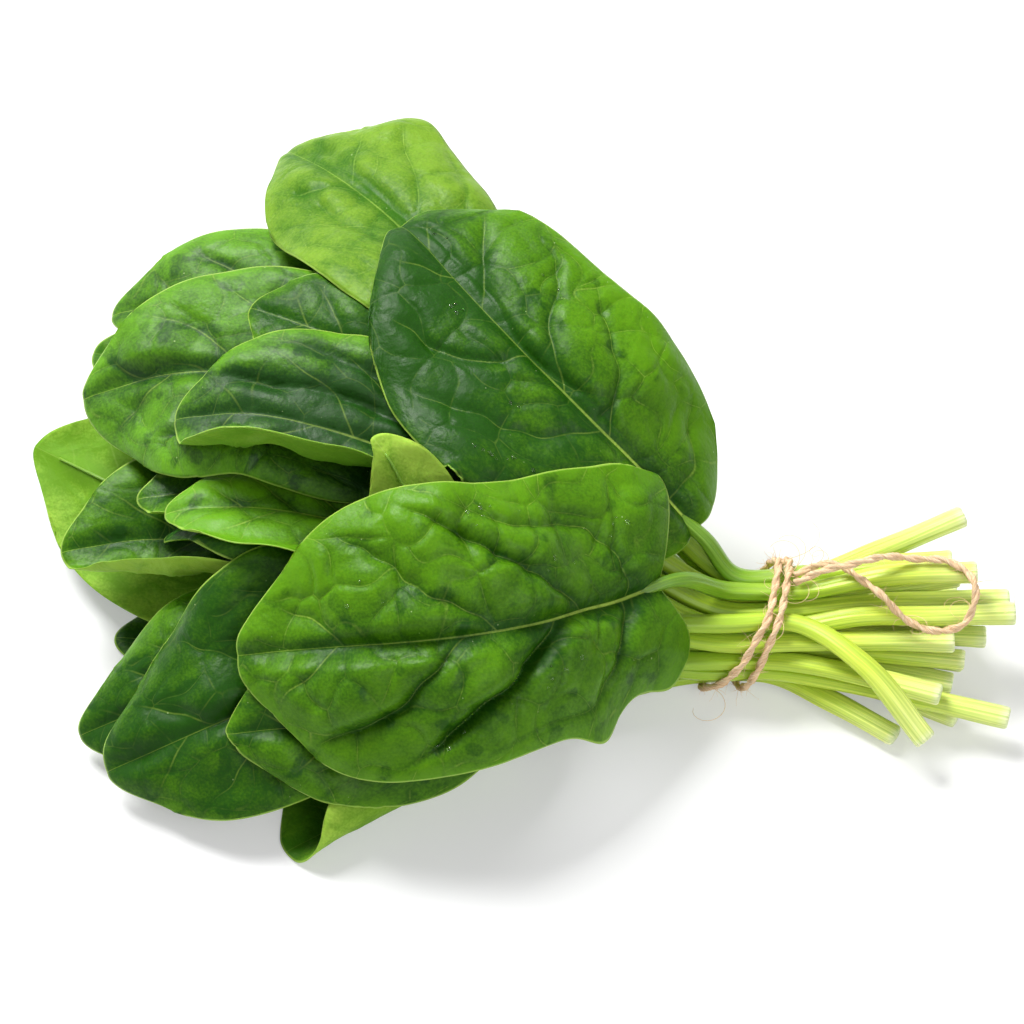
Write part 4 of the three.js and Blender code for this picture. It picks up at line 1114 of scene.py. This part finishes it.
# The two big leaves on top, whose stalks run over the tie.
grow_leaf("leaf_top_right", 22, DARK, "leaf_dark", spacing=0.75, pucker=1.3, lumps=1.2,
          roots=({0.04: 0.6, 0.28: 1.0, 0.50: 1.2, 0.79: 0.9, 0.94: 0.4},
                 {-0.1: 0.4, 0.08: 0.9, 0.26: 1.0, 0.43: 1.2, 0.68: 0.9, 0.88: 0.5}),
          drops=((0.45, -0.7, 8), (0.72, -0.15, 5), (0.3, -0.6, 7), (0.62, 0.5, 3), (0.9, 0.2, 3),
                 (0.5, -0.3, 3)),
          tip=(0.2, 0.13), blunt=4.5, folds=((2.6, 1.3, 2.2),), fuller=(-0.03, 0.06, 6),
          fresh=(0.40, -0.24, 0.55))
grow_leaf("leaf_top_front", 21, DARK, "leaf_dark", spacing=0.75, pucker=2.0, lumps=1.7, base=0.06,
          roots=({-0.05: 0.6, 0.11: 1.4, 0.285: 2.9, 0.52: 1.8, 0.8: 0.8},
                 {-0.06: 0.8, 0.10: 0.8, 0.22: 1.5, 0.45: 1.1, 0.78: 0.6}),
          drops=((0.3, 0.4, 6), (0.45, 0.75, 5), (0.75, 0.3, 4), (0.35, -0.35, 5), (0.15, 0.55, 5),
                 (0.6, -0.7, 3)),
          bulges=((-1, 0.275, 0.055, 6.0), (-1, 0.1, 0.05, 4.5)), fuller=(0, 0.05, 2.5),
          fresh=(0.62, 0.06, 0.12))

# ---- Surface and light -------------------------------------------------------------------------------
# The bunch lies on a matt white surface. Soft light comes from above and behind, with a wide fill in front.
# Near the bunch the surface keeps most of its shadow, and farther out it turns into the room's plain white.
HALF_SURFACE = 4.0  # m
FADE_FROM, FADE_TO = 0.26, 0.6  # m from the middle of the bunch


def seen_directly(tree):
    """One for the rays that meet the plain white: the camera's, and those off gloss and through glass."""
    rays = node(tree, "ShaderNodeLightPath").outputs
    seen = rays["Is Camera Ray"]
    for kind in ("Is Glossy Ray", "Is Transmission Ray"):
        seen = node(tree, "ShaderNodeMath", {0: seen, 1: rays[kind]}, operation="MAXIMUM")
    return seen


surface_material, tree = new_material("matt_white_surface")
matt = node(tree, "ShaderNodeBsdfPrincipled", {
    "Base Color": (0.95, 0.95, 0.95, 1), "Roughness": 0.9, "Specular IOR Level": 0.1,
})
plain = node(tree, "ShaderNodeEmission", {"Color": (1, 1, 1, 1), "Strength": 1.0})
surface_place = node(tree, "ShaderNodeTexCoord").outputs["Object"]
from_middle = node(tree, "ShaderNodeVectorMath", {0: surface_place}, operation="LENGTH")
fade = node(tree, "ShaderNodeMapRange", enumerate((from_middle, FADE_FROM, FADE_TO, 0.35, 1.0)),
            interpolation_type="SMOOTHSTEP")
faded = node(tree, "ShaderNodeMath", {0: seen_directly(tree), 1: fade}, operation="MULTIPLY")
node(tree, "ShaderNodeOutputMaterial", {
    "Surface": node(tree, "ShaderNodeMixShader", {0: faded, 1: matt, 2: plain}),
})
surface_mesh = bpy.data.meshes.new("surface")
corners = [(x * HALF_SURFACE, y * HALF_SURFACE, 0) for x, y in ((-1, -1), (1, -1), (1, 1), (-1, 1))]
surface_mesh.from_pydata(corners, [], [(0, 1, 2, 3)])
surface_mesh.materials.append(surface_material)
surface = bpy.data.objects.new("surface", surface_mesh)
bpy.context.collection.objects.link(surface)

world = bpy.data.worlds.new("studio")
world.use_nodes = True
world.node_tree.nodes.clear()
tree = world.node_tree
room, white = (
    node(tree, "ShaderNodeBackground", {"Color": (1, 1, 1, 1), "Strength": strength})
    for strength in (0.26, 1.0)
)
node(tree, "ShaderNodeOutputWorld", {
    0: node(tree, "ShaderNodeMixShader", {0: seen_directly(tree), 1: room, 2: white}),
})
bpy.context.scene.world = world


def soft_lamp(name, place, size, watts):
    """A square soft lamp that faces the middle of the heap."""
    heap_middle = Vector((0, 0, 0.04))
    lamp = bpy.data.lights.new(name, "AREA")
    lamp.shape = "SQUARE"
    lamp.size = size
    lamp.energy = watts
    made = bpy.data.objects.new(name, lamp)
    made.location = place
    made.rotation_euler = (heap_middle - Vector(place)).to_track_quat("-Z", "Y").to_euler()
    bpy.context.collection.objects.link(made)


soft_lamp("key", (-0.5, 0.55, 1.1), 0.6, 28)
soft_lamp("fill", (0.6, -0.9, 0.9), 0.9, 7)
bpy.context.scene.view_settings.view_transform = "Standard"
